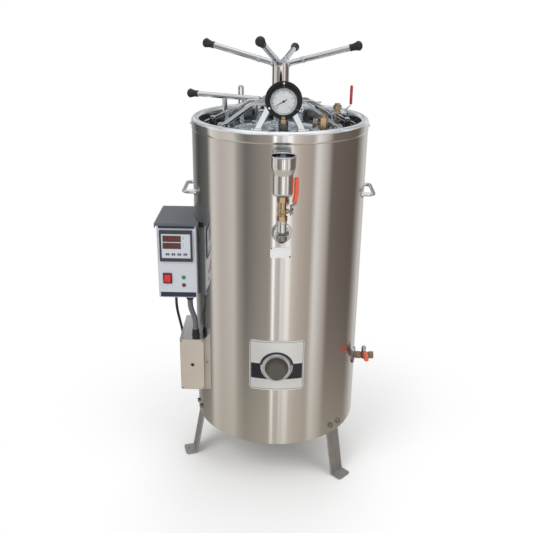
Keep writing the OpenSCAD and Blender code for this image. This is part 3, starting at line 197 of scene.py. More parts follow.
def facing(point, direction):
    """A matrix that puts Z along a direction at a point, in metres."""
    turn = Vector(direction).normalized().to_track_quat("Z", "Y").to_matrix().to_4x4()
    return Matrix.Translation(point) @ turn


def heading(azimuth, rise):
    """A direction from its azimuth and its rise above level, in degrees."""
    a, e = math.radians(azimuth), math.radians(rise)
    return Vector((math.cos(a) * math.cos(e), math.sin(a) * math.cos(e), math.sin(e)))


def mm(x, y, z):
    """A point in metres from millimetres."""
    return Vector((x, y, z)) * MM


def polar(azimuth, r, z):
    """A point in metres from an azimuth in degrees and a radius and height in millimetres."""
    a = math.radians(azimuth)
    return mm(r * math.cos(a), r * math.sin(a), z)


def block(bm, low, high):
    """A closed box between two corners in millimetres."""
    corners = [bm.verts.new(mm(x, y, z)) for x in (low[0], high[0]) for y in (low[1], high[1])
               for z in (low[2], high[2])]
    for quad in ((0, 1, 3, 2), (4, 6, 7, 5), (0, 4, 5, 1), (2, 3, 7, 6), (0, 2, 6, 4), (1, 5, 7, 3)):
        bm.faces.new([corners[k] for k in quad])


def windowed(bm, xs, zs, holes, y, thick):
    """A plate facing -Y on a grid of cuts, open at the named cells, in millimetres."""
    front = {(i, j): bm.verts.new(mm(x, y, z)) for i, x in enumerate(xs) for j, z in enumerate(zs)}
    back = {(i, j): bm.verts.new(mm(x, y + thick, z)) for i, x in enumerate(xs) for j, z in enumerate(zs)}
    solid = {(i, j) for i in range(len(xs) - 1) for j in range(len(zs) - 1)} - set(holes)
    faces = []
    for i, j in sorted(solid):
        a, b, c, d = (i, j), (i + 1, j), (i + 1, j + 1), (i, j + 1)
        faces.append(bm.faces.new((front[a], front[b], front[c], front[d])))
        faces.append(bm.faces.new((back[d], back[c], back[b], back[a])))
        for p, q, beside in ((a, b, (i, j - 1)), (b, c, (i + 1, j)), (c, d, (i, j + 1)), (d, a, (i - 1, j))):
            if beside not in solid:
                faces.append(bm.faces.new((front[q], front[p], back[p], back[q])))
    unused = [v for v in list(front.values()) + list(back.values()) if not v.link_faces]
    bmesh.ops.delete(bm, geom=unused, context="VERTS")
    bmesh.ops.recalc_face_normals(bm, faces=faces)
    edges = list(dict.fromkeys(e for f in faces for e in f.edges))
    verts = list(dict.fromkeys(v for f in faces for v in f.verts))
    bmesh.ops.dissolve_limit(bm, angle_limit=0.01, edges=edges, verts=verts)


def pipe(bm, path, radius, steps=16):
    """A closed round bar along points in metres, with one radius or one for each point, in millimetres."""
    path = [Vector(p) for p in path]
    radii = radius if isinstance(radius, (list, tuple)) else [radius] * len(path)
    side = (path[1] - path[0]).normalized().orthogonal().normalized()
    rings = []
    for k, point in enumerate(path):
        aim = (path[min(k + 1, len(path) - 1)] - path[max(k - 1, 0)]).normalized()
        side = (side - aim * side.dot(aim)).normalized()
        other = aim.cross(side)
        turns = [TAU * j / steps for j in range(steps)]
        rings.append([bm.verts.new(point + radii[k] * MM * (side * math.cos(a) + other * math.sin(a)))
                      for a in turns])
    faces = [bm.faces.new(list(reversed(rings[0]))), bm.faces.new(rings[-1])] + skinned(bm, rings)
    bmesh.ops.recalc_face_normals(bm, faces=faces)
    return [v for ring in rings for v in ring]


def skinned(bm, rings):
    """Faces between closed rings of vertices."""
    faces = []
    for a, b in zip(rings, rings[1:]):
        for j in range(len(a)):
            n = (j + 1) % len(a)
            faces.append(bm.faces.new((a[j], a[n], b[n], b[j])))
    return faces


def smooth_route(points, steps=6):
    """Points of a smooth curve through the given ones."""
    p = [Vector(q) for q in points]
    out = []
    for k in range(len(p) - 1):
        a, b, c, d = p[max(k - 1, 0)], p[k], p[k + 1], p[min(k + 2, len(p) - 1)]
        for s in range(steps):
            t = s / steps
            out.append(b + 0.5 * (t * (c - a) + t * t * (2 * a - 5 * b + 4 * c - d)
                                  + t ** 3 * (3 * b - a - 3 * c + d)))
    return out + [p[-1]]


def route_length(points):
    """Length along a row of points."""
    return sum((Vector(b) - Vector(a)).length for a, b in zip(points, points[1:]))


def curved_plate(bm, azimuth, z_mid, wide, tall, corner, r_in, r_out, rows=24, columns=24):
    """A thin plate with round corners bent round the jacket, in millimetres."""
    sheets = []
    for r in (r_out, r_in):
        sheet = []
        for j in range(rows + 1):
            dz = -tall / 2 + tall * 0.5 * (1 - math.cos(math.pi * j / rows))
            edge = max(0.0, abs(dz) - (tall / 2 - corner))
            half = wide / 2 - corner + math.sqrt(max(corner * corner - edge * edge, 0.0))
            across = [math.degrees((-half + 2 * half * k / columns) / r_out) for k in range(columns + 1)]
            sheet.append([bm.verts.new(polar(azimuth + a, r, z_mid + dz)) for a in across])
        sheets.append(sheet)
    faces = []
    for sheet in sheets:
        for a, b in zip(sheet, sheet[1:]):
            for k in range(columns):
                faces.append(bm.faces.new((a[k], a[k + 1], b[k + 1], b[k])))
    front, back = [sheet[0] + [row[-1] for row in sheet[1:]] + list(reversed(sheet[-1][:-1]))
                   + [row[0] for row in reversed(sheet[1:-1])] for sheet in sheets]
    for k in range(len(front)):
        n = (k + 1) % len(front)
        faces.append(bm.faces.new((front[k], front[n], back[n], back[k])))
    bmesh.ops.recalc_face_normals(bm, faces=faces)


def lettering(bm, text, size, turn, height=0.12):
    """Plain figures as thin raised print, size and height in millimetres."""
    data = bpy.data.curves.new("figures", "FONT")
    data.body = text
    data.size = size * MM
    data.align_x = "CENTER"
    data.align_y = "CENTER"
    data.extrude = height * MM / 2
    data.resolution_u = 2
    work = bpy.data.objects.new("figures", data)
    bpy.context.scene.collection.objects.link(work)
    mesh = baked(work)
    mesh.transform(turn)
    bm.from_mesh(mesh)
    bpy.data.meshes.remove(mesh)


# ------------------------------------------------------ geometry node recipes

def new_recipe(name, inputs):
    """An empty geometry tree with named inputs, and its two end nodes."""
    tree = bpy.data.node_groups.new(name, "GeometryNodeTree")
    tree.interface.new_socket(name="Geometry", in_out="INPUT", socket_type="NodeSocketGeometry")
    for label, kind, value in inputs:
        socket = tree.interface.new_socket(name=label, in_out="INPUT", socket_type=kind)
        if value is not None:
            socket.default_value = value
    tree.interface.new_socket(name="Geometry", in_out="OUTPUT", socket_type="NodeSocketGeometry")
    return tree, tree.nodes.new("NodeGroupInput"), tree.nodes.new("NodeGroupOutput")


def ended(tree, start, end, shape):
    """Ends a recipe: its shape made real, given its material and sent out."""
    real = tree.nodes.new("GeometryNodeRealizeInstances")
    dye = tree.nodes.new("GeometryNodeSetMaterial")
    tree.links.new(shape, real.inputs["Geometry"])
    tree.links.new(real.outputs["Geometry"], dye.inputs["Geometry"])
    tree.links.new(start.outputs["Material"], dye.inputs["Material"])
    tree.links.new(dye.outputs["Geometry"], end.inputs["Geometry"])
    return tree


def vector_of(tree, x=0.0, y=0.0, z=0.0):
    """A vector from three numbers or sockets."""
    node = tree.nodes.new("ShaderNodeCombineXYZ")
    for slot, value in zip(node.inputs, (x, y, z)):
        if isinstance(value, (int, float)):
            slot.default_value = value
        else:
            tree.links.new(value, slot)
    return node.outputs[0]


def math_of(tree, operation, a, b=None, c=None):
    """A Math node; each value is a number or a socket."""
    node = tree.nodes.new("ShaderNodeMath")
    node.operation = operation
    for slot, value in zip(node.inputs, (a, b, c)):
        if value is None:
            continue
        if isinstance(value, (int, float)):
            slot.default_value = value
        else:
            tree.links.new(value, slot)
    return node.outputs[0]


def run_recipe(work, tree, values):
    """Puts a tree on a working object with its inputs set and returns the mesh it makes."""
    modifier = work.modifiers.new(tree.name, "NODES")
    modifier.node_group = tree
    for item in tree.interface.items_tree:
        if item.in_out == "INPUT" and item.name in values:
            modifier[item.identifier] = values[item.name]
    return baked(work)


def ribbed_recipe():
    """A tube along the points of a mesh line, with round ribs."""
    if "Ribbed tube" in bpy.data.node_groups:
        return bpy.data.node_groups["Ribbed tube"]
    tree, start, end = new_recipe("Ribbed tube", (
        ("Radius", "NodeSocketFloat", 0.008), ("Rib depth", "NodeSocketFloat", 0.001),
        ("Rings in a rib", "NodeSocketInt", 6), ("Rings", "NodeSocketInt", 120), ("Sides", "NodeSocketInt", 24),
        ("Material", "NodeSocketMaterial", None)))
    n, link = tree.nodes, tree.links.new
    curve = n.new("GeometryNodeMeshToCurve")
    link(start.outputs["Geometry"], curve.inputs["Mesh"])
    even = n.new("GeometryNodeResampleCurve")
    link(curve.outputs["Curve"], even.inputs["Curve"])
    link(start.outputs["Rings"], even.inputs["Count"])
    index = n.new("GeometryNodeInputIndex")
    turn = math_of(tree, "DIVIDE", index.outputs[0], start.outputs["Rings in a rib"])
    wave = math_of(tree, "COSINE", math_of(tree, "MULTIPLY", turn, TAU))
    dip = math_of(tree, "MULTIPLY", math_of(tree, "SUBTRACT", 1.0, wave), 0.5)
    depth = math_of(tree, "MULTIPLY", dip, start.outputs["Rib depth"])
    radius = math_of(tree, "SUBTRACT", start.outputs["Radius"], depth)
    ring = n.new("GeometryNodeCurvePrimitiveCircle")
    link(start.outputs["Sides"], ring.inputs["Resolution"])
    ring.inputs["Radius"].default_value = 1.0
    skin = n.new("GeometryNodeCurveToMesh")
    skin.inputs["Fill Caps"].default_value = True
    link(even.outputs["Curve"], skin.inputs["Curve"])
    link(radius, skin.inputs["Scale"])
    link(ring.outputs["Curve"], skin.inputs["Profile Curve"])
    return ended(tree, start, end, skin.outputs["Mesh"])


def marks_recipe():
    """Short bars set round a centre in the XY plane, every few of them longer."""
    if "Scale marks" in bpy.data.node_groups:
        return bpy.data.node_groups["Scale marks"]
    tree, start, end = new_recipe("Scale marks", (
        ("Count", "NodeSocketInt", 51), ("Outer radius", "NodeSocketFloat", 0.03),
        ("Start angle", "NodeSocketFloat", 0.0), ("Sweep", "NodeSocketFloat", 4.7),
        ("Length", "NodeSocketFloat", 0.004), ("Width", "NodeSocketFloat", 0.0006),
        ("Height", "NodeSocketFloat", 0.0001), ("Long one in", "NodeSocketInt", 5),
        ("Short share", "NodeSocketFloat", 0.55), ("Material", "NodeSocketMaterial", None)))
    n, link = tree.nodes, tree.links.new
    index = n.new("GeometryNodeInputIndex")
    gaps = math_of(tree, "SUBTRACT", start.outputs["Count"], 1.0)
    share = math_of(tree, "DIVIDE", index.outputs[0], gaps)
    angle = math_of(tree, "MULTIPLY_ADD", share, start.outputs["Sweep"], start.outputs["Start angle"])
    rest = math_of(tree, "MODULO", index.outputs[0], start.outputs["Long one in"])
    is_short = math_of(tree, "GREATER_THAN", rest, 0.5)
    loss = math_of(tree, "SUBTRACT", 1.0, start.outputs["Short share"])
    scale = math_of(tree, "SUBTRACT", 1.0, math_of(tree, "MULTIPLY", is_short, loss))
    half = math_of(tree, "MULTIPLY", math_of(tree, "MULTIPLY", scale, start.outputs["Length"]), 0.5)
    radius = math_of(tree, "SUBTRACT", start.outputs["Outer radius"], half)
    place = vector_of(tree, math_of(tree, "MULTIPLY", radius, math_of(tree, "COSINE", angle)),
                      math_of(tree, "MULTIPLY", radius, math_of(tree, "SINE", angle)))
    points = n.new("GeometryNodePoints")
    link(start.outputs["Count"], points.inputs["Count"])
    link(place, points.inputs["Position"])
    bar = n.new("GeometryNodeMeshCube")
    link(vector_of(tree, *(start.outputs[side] for side in ("Length", "Width", "Height"))), bar.inputs["Size"])
    copies = n.new("GeometryNodeInstanceOnPoints")
    link(points.outputs[0], copies.inputs["Points"])
    link(bar.outputs["Mesh"], copies.inputs["Instance"])
    link(vector_of(tree, z=angle), copies.inputs["Rotation"])
    link(vector_of(tree, scale, 1.0, 1.0), copies.inputs["Scale"])
    return ended(tree, start, end, copies.outputs["Instances"])


def rivets_recipe():
    """A low round head on every point of a mesh, facing along the point's own direction."""
    if "Rivet heads" in bpy.data.node_groups:
        return bpy.data.node_groups["Rivet heads"]
    tree, start, end = new_recipe("Rivet heads", (
        ("Radius", "NodeSocketFloat", 0.003), ("Rise", "NodeSocketFloat", 0.4),
        ("Material", "NodeSocketMaterial", None)))
    n, link = tree.nodes, tree.links.new
    ball = n.new("GeometryNodeMeshUVSphere")
    ball.inputs["Segments"].default_value = 20
    ball.inputs["Rings"].default_value = 10
    link(start.outputs["Radius"], ball.inputs["Radius"])
    flat = n.new("GeometryNodeTransform")
    link(ball.outputs["Mesh"], flat.inputs["Geometry"])
    link(vector_of(tree, 1.0, 1.0, start.outputs["Rise"]), flat.inputs["Scale"])
    way = n.new("GeometryNodeInputNamedAttribute")
    way.data_type = "FLOAT_VECTOR"
    way.inputs["Name"].default_value = "way"
    aim = n.new("FunctionNodeAlignRotationToVector")
    aim.axis = "Z"
    link(way.outputs["Attribute"], aim.inputs["Vector"])
    copies = n.new("GeometryNodeInstanceOnPoints")
    link(start.outputs["Geometry"], copies.inputs["Points"])
    link(flat.outputs["Geometry"], copies.inputs["Instance"])
    link(aim.outputs["Rotation"], copies.inputs["Rotation"])
    return ended(tree, start, end, copies.outputs["Instances"])


def rivets(name, places, radius, material, node, rise=0.4):
    """One piece with a rivet head at every (point, direction)."""
    bm = bmesh.new()
    for point, _ in places:
        bm.verts.new(point)
    work = loose(name + "_work", bm)
    way = work.data.attributes.new("way", "FLOAT_VECTOR", "POINT")
    for k, (_, direction) in enumerate(places):
        way.data[k].vector = direction
    mesh = run_recipe(work, rivets_recipe(), {"Radius": radius * MM, "Rise": rise, "Material": material})
    return placed(name, mesh, material, node, 40, False)


def marks(bm, turn, **values):
    """Adds a ring of scale marks to a bmesh, turned into place."""
    seed = bmesh.new()
    seed.verts.new((0, 0, 0))
    mesh = run_recipe(loose("marks_work", seed), marks_recipe(), values)
    mesh.transform(turn)
    bm.from_mesh(mesh)
    bpy.data.meshes.remove(mesh)


# ------------------------------------------------------------ shader helpers

def wear_group():
    """Colour, roughness and height that change a little over a surface."""
    if "Surface variation" in bpy.data.node_groups:
        return bpy.data.node_groups["Surface variation"]
    tree = bpy.data.node_groups.new("Surface variation", "ShaderNodeTree")
    for name, kind, value in (
            ("Color", "NodeSocketColor", (0.5, 0.5, 0.5, 1)), ("Tone", "NodeSocketFloat", 0.1),
            ("Roughness", "NodeSocketFloat", 0.3), ("Roughness change", "NodeSocketFloat", 0.1),
            ("Scale", "NodeSocketFloat", 40.0), ("Stretch", "NodeSocketVector", (1, 1, 1))):
        tree.interface.new_socket(name=name, in_out="INPUT", socket_type=kind).default_value = value
    for name, kind in (("Color", "NodeSocketColor"), ("Roughness", "NodeSocketFloat"),
                       ("Height", "NodeSocketFloat")):
        tree.interface.new_socket(name=name, in_out="OUTPUT", socket_type=kind)
    n, link = tree.nodes, tree.links.new
    start, end = n.new("NodeGroupInput"), n.new("NodeGroupOutput")
    coord = n.new("ShaderNodeTexCoord")
    stretch = n.new("ShaderNodeVectorMath")
    stretch.operation = "MULTIPLY"
    link(coord.outputs["Object"], stretch.inputs[0])
    link(start.outputs["Stretch"], stretch.inputs[1])
    fine = n.new("ShaderNodeTexNoise")
    fine.inputs["Detail"].default_value = 5
    fine.inputs["Roughness"].default_value = 0.6
    link(stretch.outputs[0], fine.inputs["Vector"])
    link(start.outputs["Scale"], fine.inputs["Scale"])
    broad = n.new("ShaderNodeTexNoise")
    broad.inputs["Scale"].default_value = 9
    broad.inputs["Detail"].default_value = 3
    link(coord.outputs["Object"], broad.inputs["Vector"])
    fine_share, broad_share = 0.6, 0.4
    mixed = math_of(tree, "MULTIPLY_ADD", fine.outputs["Fac"], fine_share,
                    math_of(tree, "MULTIPLY", broad.outputs["Fac"], broad_share))
    centred = math_of(tree, "SUBTRACT", mixed, 0.5)
    colour = n.new("ShaderNodeVectorMath")
    colour.operation = "SCALE"
    link(start.outputs["Color"], colour.inputs[0])
    link(math_of(tree, "MULTIPLY_ADD", centred, start.outputs["Tone"], 1.0), colour.inputs["Scale"])
    link(colour.outputs[0], end.inputs["Color"])
    link(math_of(tree, "MULTIPLY_ADD", centred, start.outputs["Roughness change"], start.outputs["Roughness"]),
         end.inputs["Roughness"])
    link(fine.outputs["Fac"], end.inputs["Height"])
    return tree


def eased(tree, value, low, high):
    """A smooth step of a value, 0 at low and 1 at high."""
    node = tree.nodes.new("ShaderNodeMapRange")
    node.interpolation_type = "SMOOTHSTEP"
    node.inputs["From Min"].default_value = low
    node.inputs["From Max"].default_value = high
    tree.links.new(value, node.inputs["Value"])
    return node.outputs["Result"]


def blended(tree, factor, *colours):
    """One colour going over to another; each is a socket or three plain numbers."""
    node = tree.nodes.new("ShaderNodeMix")
    node.data_type = "RGBA"
    tree.links.new(factor, node.inputs["Factor"])
    for slot, colour in zip((node.inputs["A"], node.inputs["B"]), colours):
        if isinstance(colour, tuple):
            slot.default_value = (*colour, 1)
        else:
            tree.links.new(colour, slot)
    return node.outputs["Result"]


def surface(name, colour, rough, metal=0.0, tone=0.15, rough_change=0.1, scale=40.0, stretch=(1, 1, 1),
            bump=0.0, coat=0.0, specular=0.5, grain=0.0):
    """A Principled material whose colour, roughness and normal come from the variation group."""
    if name in bpy.data.materials:
        return bpy.data.materials[name]
    material = bpy.data.materials.new(name)
    material.use_nodes = True
    tree = material.node_tree
    shader = tree.nodes["Principled BSDF"]
    shader.inputs["Metallic"].default_value = metal
    shader.inputs["Specular IOR Level"].default_value = specular
    shader.inputs["Coat Weight"].default_value = coat
    shader.inputs["Anisotropic"].default_value = grain
    shader.inputs["Anisotropic Rotation"].default_value = 0.25 if grain else 0.0
    wear = tree.nodes.new("ShaderNodeGroup")
    wear.node_tree = wear_group()
    wear.inputs["Color"].default_value = (*colour, 1)
    wear.inputs["Tone"].default_value = tone
    wear.inputs["Roughness"].default_value = rough
    wear.inputs["Roughness change"].default_value = rough_change
    wear.inputs["Scale"].default_value = scale
    wear.inputs["Stretch"].default_value = stretch
    tree.links.new(wear.outputs["Color"], shader.inputs["Base Color"])
    tree.links.new(wear.outputs["Roughness"], shader.inputs["Roughness"])
    if bump:
        height = tree.nodes.new("ShaderNodeBump")
        height.inputs["Strength"].default_value = bump
        height.inputs["Distance"].default_value = 0.0004
        tree.links.new(wear.outputs["Height"], height.inputs["Height"])
        tree.links.new(height.outputs["Normal"], shader.inputs["Normal"])
    return material


def jacket_steel():
    """Steel of the jacket, ground round it, so that what it mirrors is drawn out upwards."""
    return surface("Jacket steel", tuple(props().jacket_colour), rough=0.155, metal=1, tone=0.10,
                   rough_change=0.06, scale=3.0, stretch=(60, 60, 1.2), grain=0.92)


def pale_highlight_steel():
    """Pale steel of the rolled rim and the hinge strap; its paleness is a painted highlight, the bright room
    mirrored on the rim's top painted into the colour.
    """
    return surface("Pale rim steel, painted highlight", (0.93, 0.935, 0.935), rough=0.17, metal=0.72, tone=0.12, rough_change=0.12,
                   scale=60, stretch=(1, 1, 4), bump=0.08)


def dark_steel_and_painted_shade():
    """Dull grey steel of the locking ring, the heating element and the darker fittings; on the inlet elbow's
    ball it is painted shade, a painted dark reflection on the chrome.
    """
    return surface("Ring steel and painted shade", (0.36, 0.36, 0.36), rough=0.32, metal=1, tone=0.25, rough_change=0.2, scale=50,
                   bump=0.1)


def chrome():
    """Bright plating."""
    return surface("Chrome", tuple(props().chrome_colour), rough=0.09, metal=1, tone=0.08, rough_change=0.07,
                   scale=35)


def arm_steel():
    """Cast and polished steel of the arms and their brackets."""
    return surface("Arm steel", (0.80, 0.815, 0.83), rough=0.10, metal=1, tone=0.14, scale=60, bump=0.08)


def lid_steel():
    """Polished steel of the lid, a little uneven."""
    return surface("Lid steel", (0.83, 0.86, 0.89), rough=0.11, metal=1, tone=0.22, rough_change=0.16, scale=34,
                   bump=0.10)


def satin_steel():
    """Unpolished sheet steel."""
    return surface("Satin steel", (0.76, 0.73, 0.68), rough=0.44, metal=1, tone=0.42, rough_change=0.25,
                   scale=26, bump=0.12)


def brass():
    """Brass of the valve bodies."""
    return surface("Brass", tuple(props().brass_colour), rough=0.27, metal=1, tone=0.35, rough_change=0.2,
                   scale=110, bump=0.12)


def dull_brass():
    """Darker, handled brass of the air cock and the drain."""
    return surface("Dull brass", (0.30, 0.22, 0.14), rough=0.4, metal=1, tone=0.4, rough_change=0.2, scale=120,
                   bump=0.15)


def red_sleeve():
    """Dipped red sleeve of the levers."""
    return surface("Red sleeve", tuple(props().red_colour), rough=0.30, tone=0.16, rough_change=0.12, scale=120,
                   bump=0.08, coat=0.25)


def black_grip():
    """Moulded black of grips, keys and glands."""
    return surface("Black grip", (0.016, 0.016, 0.018), rough=0.34, tone=0.5, rough_change=0.15, scale=160,
                   bump=0.12)


def knob_black():
    """Worn black of the selector knob."""
    return surface("Knob", (0.075, 0.066, 0.058), rough=0.36, tone=0.25, scale=90, bump=0.1)


def white_print():
    """White of the dial face and the signs on the keys."""
    return surface("White print", (0.78, 0.79, 0.80), rough=0.5, tone=0.08, scale=90)


def black_print():
    """Black print of marks and figures."""
    return surface("Black print", (0.02, 0.02, 0.024), rough=0.5, tone=0.4, scale=90)


def navy_print():
    """Dark blue print of the bands on the panel."""
    return surface("Navy print", tuple(props().navy_colour), rough=0.4, tone=0.12, scale=90, bump=0.03)


def props():
    """The settings of this scene."""
    return bpy.context.scene.autoclave_settings


# ------------------------------------------------------------------ settings

class AutoclaveSettings(bpy.types.PropertyGroup):
    """Sizes and colours of the autoclave's looks."""

    camera_height: bpy.props.FloatProperty(
        name="Camera height", description="Height of the lens above the floor", default=1.42915, unit="LENGTH")
    camera_distance: bpy.props.FloatProperty(
        name="Camera distance", description="Distance of the lens from the chamber axis", default=2.0519,
        unit="LENGTH")
    camera_pitch: bpy.props.FloatProperty(
        name="Camera pitch", description="How far the camera looks down", default=0.3762, subtype="ANGLE")
    camera_yaw: bpy.props.FloatProperty(
        name="Camera yaw", description="How far the camera looks to the right",
        default=-0.0162, subtype="ANGLE")
    camera_roll: bpy.props.FloatProperty(
        name="Camera roll", description="Tilt of the camera about its own axis",
        default=0.0119, subtype="ANGLE")
    lens: bpy.props.FloatProperty(
        name="Lens", description="Focal length on a 36 mm sensor, in millimetres", default=48.39)
    floor_size: bpy.props.FloatProperty(
        name="Floor size", description="Side of the pale floor", default=60.0, unit="LENGTH")
    room_light: bpy.props.FloatProperty(
        name="Room light", description="Strength of the even light on matt surfaces", default=0.72)
    round_steps: bpy.props.IntProperty(
        name="Round steps", description="Faces round the jacket and the lid", default=192, min=48, max=256)
    rib_count: bpy.props.IntProperty(
        name="Conduit ribs", description="Ribs along the grey conduit", default=21, min=10, max=60)
    gauge_marks: bpy.props.IntProperty(
        name="Gauge marks", description="Marks round the gauge's scale", default=41, min=11, max=101)
    floor_colour: bpy.props.FloatVectorProperty(
        name="Floor", description="Colour of the floor", subtype="COLOR", default=(0.93, 0.93, 0.93))
    jacket_colour: bpy.props.FloatVectorProperty(
        name="Jacket", description="Colour of the jacket's steel", subtype="COLOR", default=(0.66, 0.65, 0.63))
    chrome_colour: bpy.props.FloatVectorProperty(
        name="Chrome", description="Colour of the plated pieces", subtype="COLOR", default=(0.80, 0.81, 0.82))
    brass_colour: bpy.props.FloatVectorProperty(
        name="Brass", description="Colour of the valve bodies", subtype="COLOR", default=(0.60, 0.45, 0.28))
    red_colour: bpy.props.FloatVectorProperty(
        name="Red", description="Colour of the lever sleeves", subtype="COLOR", default=(0.74, 0.10, 0.035))
    leg_colour: bpy.props.FloatVectorProperty(
        name="Legs", description="Colour of the legs' scuffed steel", subtype="COLOR",
        default=(0.40, 0.385, 0.37))
    hood_colour: bpy.props.FloatVectorProperty(
        name="Hood", description="Colour of the control box hood", subtype="COLOR",
        default=(0.098, 0.107, 0.122))
    panel_colour: bpy.props.FloatVectorProperty(
        name="Panel", description="Colour of the front panel", subtype="COLOR", default=(0.60, 0.63, 0.68))
    ink_colour: bpy.props.FloatVectorProperty(
        name="Ink", description="Colour of the bands beside the selector", subtype="COLOR",
        default=(0.010, 0.011, 0.022))
    navy_colour: bpy.props.FloatVectorProperty(
        name="Navy", description="Colour of the printed bands", subtype="COLOR", default=(0.018, 0.021, 0.060))


# ------------------------------------------------------------------ operators

class AUTOCLAVE_OT_stage(bpy.types.Operator):
    """Camera, lights, floor and surroundings"""

    bl_idname = "autoclave.stage"
    bl_label = "Stage"

    # direction round the object, in degrees from the front towards the right, and the colour mirrored from it
    BANDS = (
        (-180, (0.50, 0.50, 0.50)), (-150, (0.32, 0.33, 0.33)), (-134, (0.08, 0.08, 0.08)),
        (-106, (0.17, 0.17, 0.16)), (-99, (0.90, 0.85, 0.80)), (-82, (0.66, 0.60, 0.56)),
        (-61, (0.76, 0.72, 0.66)), (-54, (0.40, 0.39, 0.36)), (-43, (0.19, 0.18, 0.17)),
        (-25, (0.33, 0.30, 0.27)), (-10, (0.42, 0.37, 0.33)), (-7.5, (0.60, 0.56, 0.53)),
        (-6, (1.80, 1.75, 1.72)), (-4, (1.60, 1.55, 1.52)), (-2.5, (0.50, 0.47, 0.47)),
        (-1, (0.62, 0.60, 0.60)), (0.5, (0.95, 0.92, 0.92)), (1.5, (0.52, 0.50, 0.52)),
        (3, (0.62, 0.60, 0.60)), (5, (1.20, 1.16, 1.14)), (9, (0.88, 0.85, 0.82)),
        (11, (1.32, 1.26, 1.22)), (16, (1.30, 1.24, 1.20)), (18, (0.84, 0.78, 0.72)),
        (28, (0.64, 0.56, 0.50)), (44, (0.50, 0.43, 0.38)), (51, (1.00, 0.97, 0.94)),
        (67, (0.52, 0.46, 0.42)), (73, (0.19, 0.160, 0.14)), (120, (0.15, 0.122, 0.10)),
        (146, (0.72, 0.70, 0.68)),
    )
    # upward share of a direction at which one layer of the room begins and has taken over
    GROUND_RISE, PIT_RISE = (-0.40, -0.70), (-0.76, -0.90)
    CEILING_RISE, ZENITH_RISE = (0.02, 0.30), (0.72, 0.90)
    GROUND, PIT, ZENITH = (0.56, 0.505, 0.42), (0.15, 0.14, 0.13), (0.98, 0.99, 1.0)
    HAZE = ((0.40, (0.15, 0.17, 0.19)), (0.60, (0.74, 0.79, 0.83)))
    FLOOR_FADE = (0.35, 0.90)  # distances from the axis between which the floor turns plain white, in metres
    # name, place, side and power of each lamp, and its colour
    LAMPS = (
        ("Key", (-2.2, -2.4, 3.4), 2.2, 62, (1, 1, 1)),
        ("Fill", (2.6, -1.6, 2.6), 2.2, 30, (1, 0.98, 0.96)),
        ("Back", (0.4, 2.8, 3.0), 2.4, 34, (0.97, 0.99, 1)),
    )
    LAMP_AIM = Vector((0, 0, 0.7))

    def execute(self, context):
        self.camera(context)
        self.surroundings(context)
        self.floor(context)
        self.lamps(context)
        context.scene.view_settings.view_transform = "Standard"
        return {"FINISHED"}

    def camera(self, context):
        """The place, aim and lens of the view."""
        p = props()
        yaw, pitch, roll = p.camera_yaw, p.camera_pitch, p.camera_roll
        ahead = Vector((math.sin(yaw) * math.cos(pitch), math.cos(yaw) * math.cos(pitch), -math.sin(pitch)))
        right = Vector((math.cos(yaw), -math.sin(yaw), 0))
        up = right.cross(ahead)
        side = math.cos(roll) * right + math.sin(roll) * up
        top = -math.sin(roll) * right + math.cos(roll) * up
        data = bpy.data.cameras.new("Camera")
        data.lens = p.lens
        data.sensor_width = 36
        camera = bpy.data.objects.new("Camera", data)
        camera.matrix_world = Matrix((
            (side.x, top.x, -ahead.x, 0), (side.y, top.y, -ahead.y, -p.camera_distance),
            (side.z, top.z, -ahead.z, p.camera_height), (0, 0, 0, 1)))
        context.scene.collection.objects.link(camera)
        context.scene.camera = camera

    def surroundings(self, context):
        """White to the camera, an even light on matt surfaces, and a room for the steel to mirror."""
        world = bpy.data.worlds.new("Room")
        context.scene.world = world
        world.use_nodes = True
        tree = world.node_tree
        tree.nodes.clear()
        n, link = tree.nodes, tree.links.new
        out = n.new("ShaderNodeOutputWorld")
        seen, shiny, even = (n.new("ShaderNodeBackground") for _ in range(3))
        for light in (seen, even):
            light.inputs["Color"].default_value = (1, 1, 1, 1)
        link(self.room(tree), shiny.inputs["Color"])
        even.inputs["Strength"].default_value = props().room_light
        rays = n.new("ShaderNodeLightPath")
        unseen, whole = (n.new("ShaderNodeMixShader") for _ in range(2))
        link(rays.outputs["Is Glossy Ray"], unseen.inputs[0])
        link(even.outputs[0], unseen.inputs[1])
        link(shiny.outputs[0], unseen.inputs[2])
        straight = math_of(tree, "MAXIMUM", rays.outputs["Is Camera Ray"], rays.outputs["Is Transmission Ray"])
        link(straight, whole.inputs[0])
        link(unseen.outputs[0], whole.inputs[1])
        link(seen.outputs[0], whole.inputs[2])
        link(whole.outputs[0], out.inputs["Surface"])

